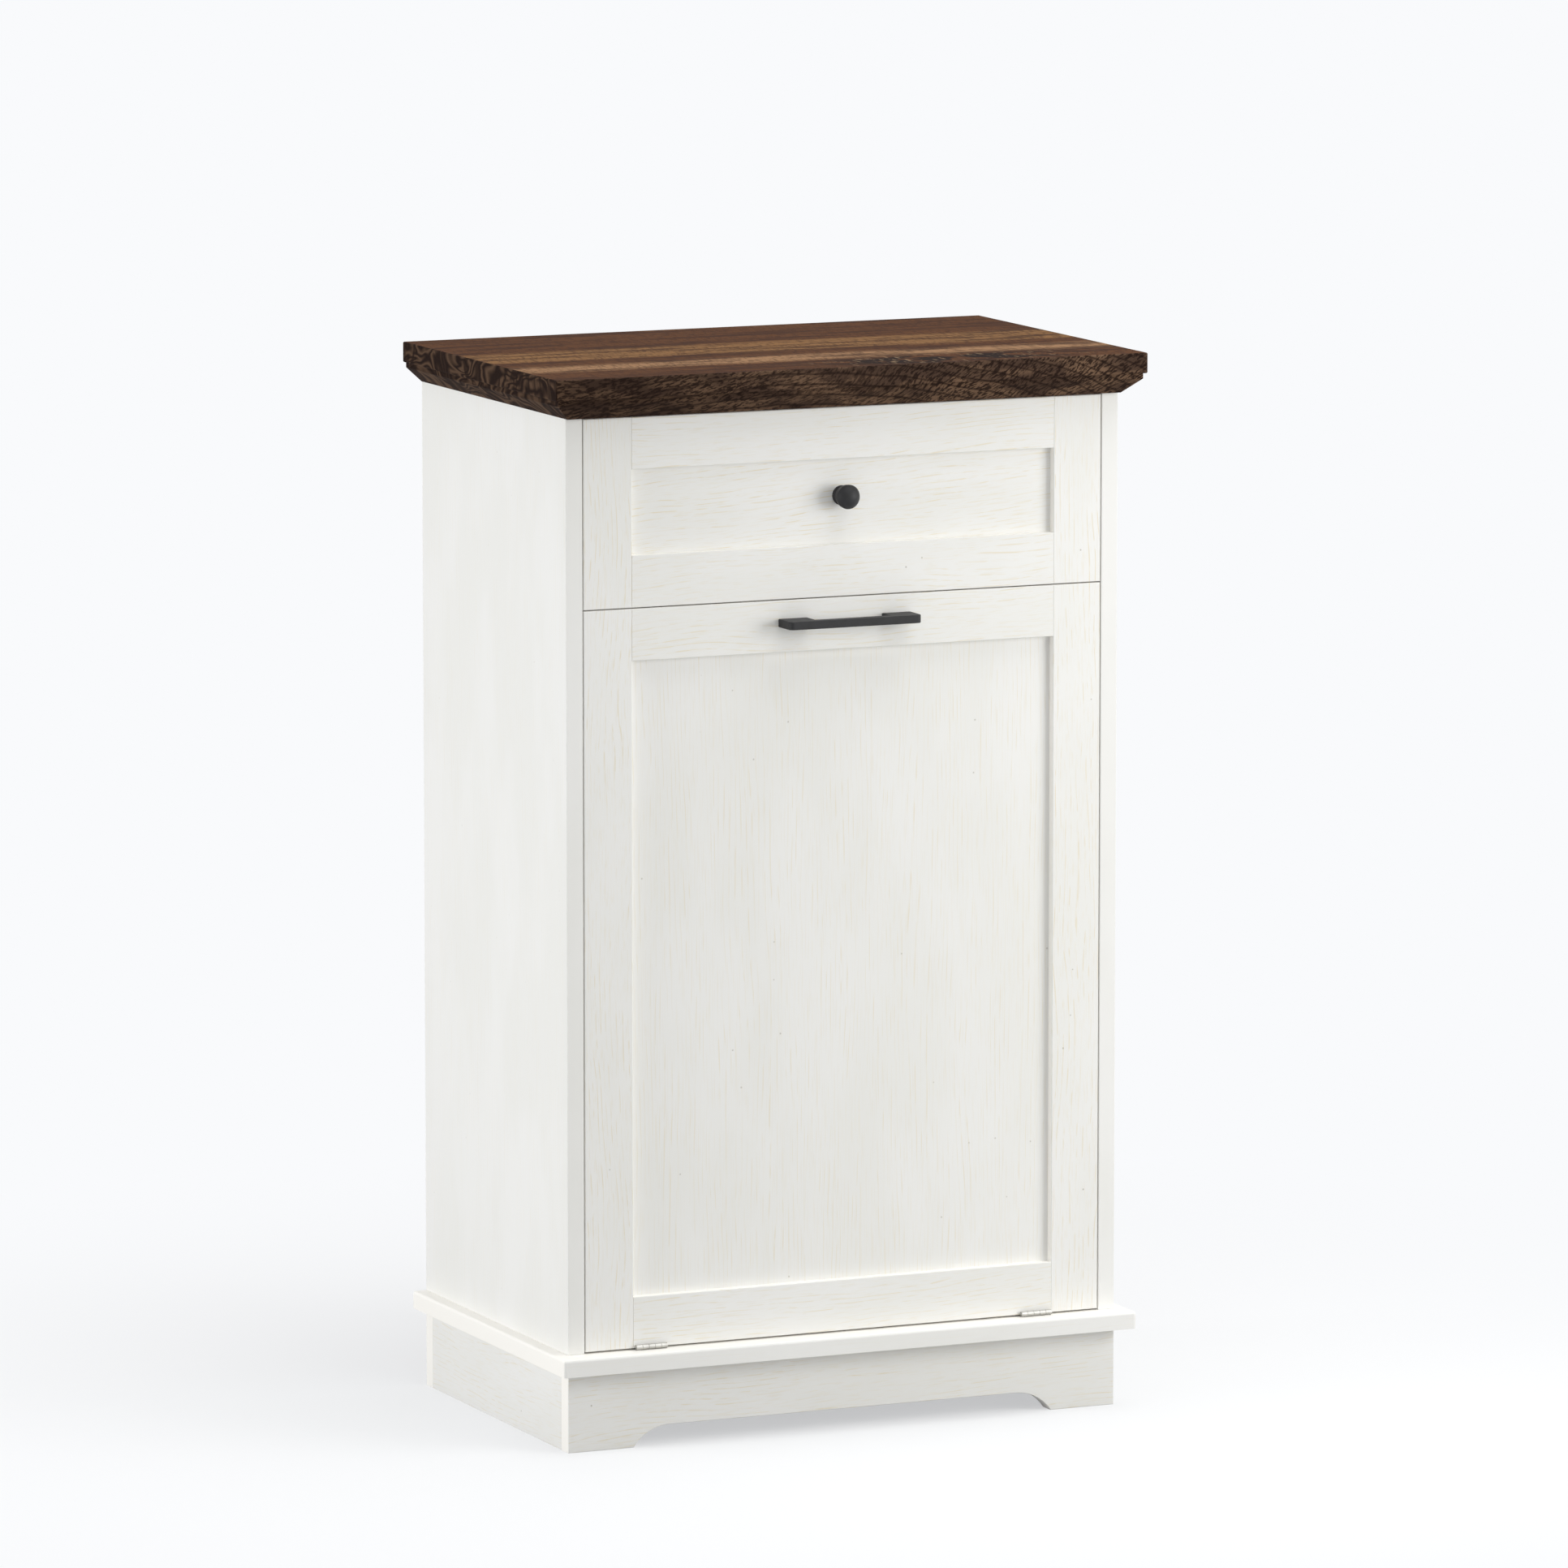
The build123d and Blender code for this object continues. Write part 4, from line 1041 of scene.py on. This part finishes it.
def studio_floor(stage):
    """A painted floor that keeps the cabinet's shadow and fades into the backdrop."""
    bm = bmesh.new()
    bmesh.ops.create_grid(bm, x_segments=8, y_segments=8, size=FLOOR_HALF_WIDTH)
    mesh = bpy.data.meshes.new("studio_floor")
    bm.to_mesh(mesh)
    bm.free()
    floor = bpy.data.objects.new("studio_floor", mesh)
    bpy.context.scene.collection.objects.link(floor)
    material = bpy.data.materials.new("painted_studio_floor")
    tree = empty_tree(material)
    seen = seen_directly(tree)
    tone = mix(tree, seen, stage.floor_bounce, stage.floor)
    paint = add_node(tree, "BsdfDiffuse", {"Color": tone})
    glow = add_node(tree, "Emission", {"Color": stage.backdrop, "Strength": 1.0})
    place = add_node(tree, "TexCoord", output="Object")
    distance = add_node(tree, "VectorMath", {0: place}, "Value", operation="LENGTH")
    fade = {"Value": distance, "From Min": FADE_START, "From Max": FADE_END, "To Min": NEAR_SHARE}
    share = add_node(tree, "MapRange", fade, interpolation_type="SMOOTHSTEP")
    factor = multiply(tree, share, seen)
    mixed = add_node(tree, "MixShader", {0: factor, 1: paint, 2: glow})
    add_node(tree, "OutputMaterial", {"Surface": mixed})
    mesh.materials.append(material)


def studio_world(stage):
    """Soft light from all round, behind a plain backdrop that the camera sees."""
    world = bpy.data.worlds.new("studio_world")
    bpy.context.scene.world = world
    tree = empty_tree(world)
    ambient = add_node(tree, "Background", {"Color": stage.ambient, "Strength": AMBIENT})
    backdrop = add_node(tree, "Background", {"Color": stage.backdrop, "Strength": 1.0})
    mixed = add_node(tree, "MixShader", {0: seen_directly(tree), 1: ambient, 2: backdrop})
    add_node(tree, "OutputWorld", {"Surface": mixed})


def photograph_camera():
    """The camera at the photograph's viewing angle."""
    view = bpy.data.cameras.new("photograph_view")
    view.lens = CAMERA_LENS
    view.sensor_width = CAMERA_SENSOR
    view.clip_end = CAMERA_REACH
    camera = bpy.data.objects.new("photograph_view", view)
    camera.location = CAMERA_PLACE
    camera.rotation_euler = [radians(angle) for angle in CAMERA_TURN]
    bpy.context.scene.collection.objects.link(camera)
    bpy.context.scene.camera = camera


class CABINET_OT_stage(bpy.types.Operator):
    """Set up the pale floor, the soft studio light and the camera"""
    bl_idname = "cabinet.stage"
    bl_label = "Stage"

    def execute(self, context):
        stage = context.scene.cabinet_stage
        studio_floor(stage)
        studio_world(stage)
        for lamp in LAMPS:
            soft_light(*lamp)
        photograph_camera()
        context.scene.view_settings.view_transform = "Standard"
        return {"FINISHED"}


STEPS = (
    CABINET_OT_white_boards, CABINET_OT_inner_boards, CABINET_OT_walnut_top, CABINET_OT_metalwork,
    CABINET_OT_knob, CABINET_OT_bearing_balls, CABINET_OT_grip_screws, CABINET_OT_hinge_screws,
    CABINET_OT_stay_screws, CABINET_OT_catch_screws, CABINET_OT_slide_screws, CABINET_OT_stage,
)
GROUPS = {
    "cabinet_foil": FoilSettings,
    "cabinet_walnut": WalnutSettings,
    "cabinet_metal": MetalSettings,
    "cabinet_knob": KnobSettings,
    "cabinet_screws": ScrewSettings,
    "cabinet_stage": StageSettings,
}


class CABINET_PT_panel(bpy.types.Panel):
    """List the cabinet's settings and its building steps"""
    bl_idname = "CABINET_PT_panel"
    bl_label = "Tilt-out Trash Cabinet"
    bl_space_type = "VIEW_3D"
    bl_region_type = "UI"
    bl_category = "Cabinet"

    def draw(self, context):
        for group, kind in GROUPS.items():
            column = self.layout.box().column()
            for name in kind.__annotations__:
                column.prop(getattr(context.scene, group), name)
        for step in STEPS:
            self.layout.operator(step.bl_idname)


CLASSES = (*GROUPS.values(), *STEPS, CABINET_PT_panel)


def register():
    """Add the cabinet's settings, operators and panel to Blender."""
    for kind in CLASSES:
        bpy.utils.register_class(kind)
    for group, kind in GROUPS.items():
        setattr(bpy.types.Scene, group, bpy.props.PointerProperty(type=kind))


def unregister():
    """Take them out again."""
    for group in GROUPS:
        delattr(bpy.types.Scene, group)
    for kind in reversed(CLASSES):
        bpy.utils.unregister_class(kind)


def main():
    """Dress the cabinet."""
    register()
    for step in STEPS:
        family, action = step.bl_idname.split(".")
        getattr(getattr(bpy.ops, family), action)()


if __name__ == "__main__":
    main()
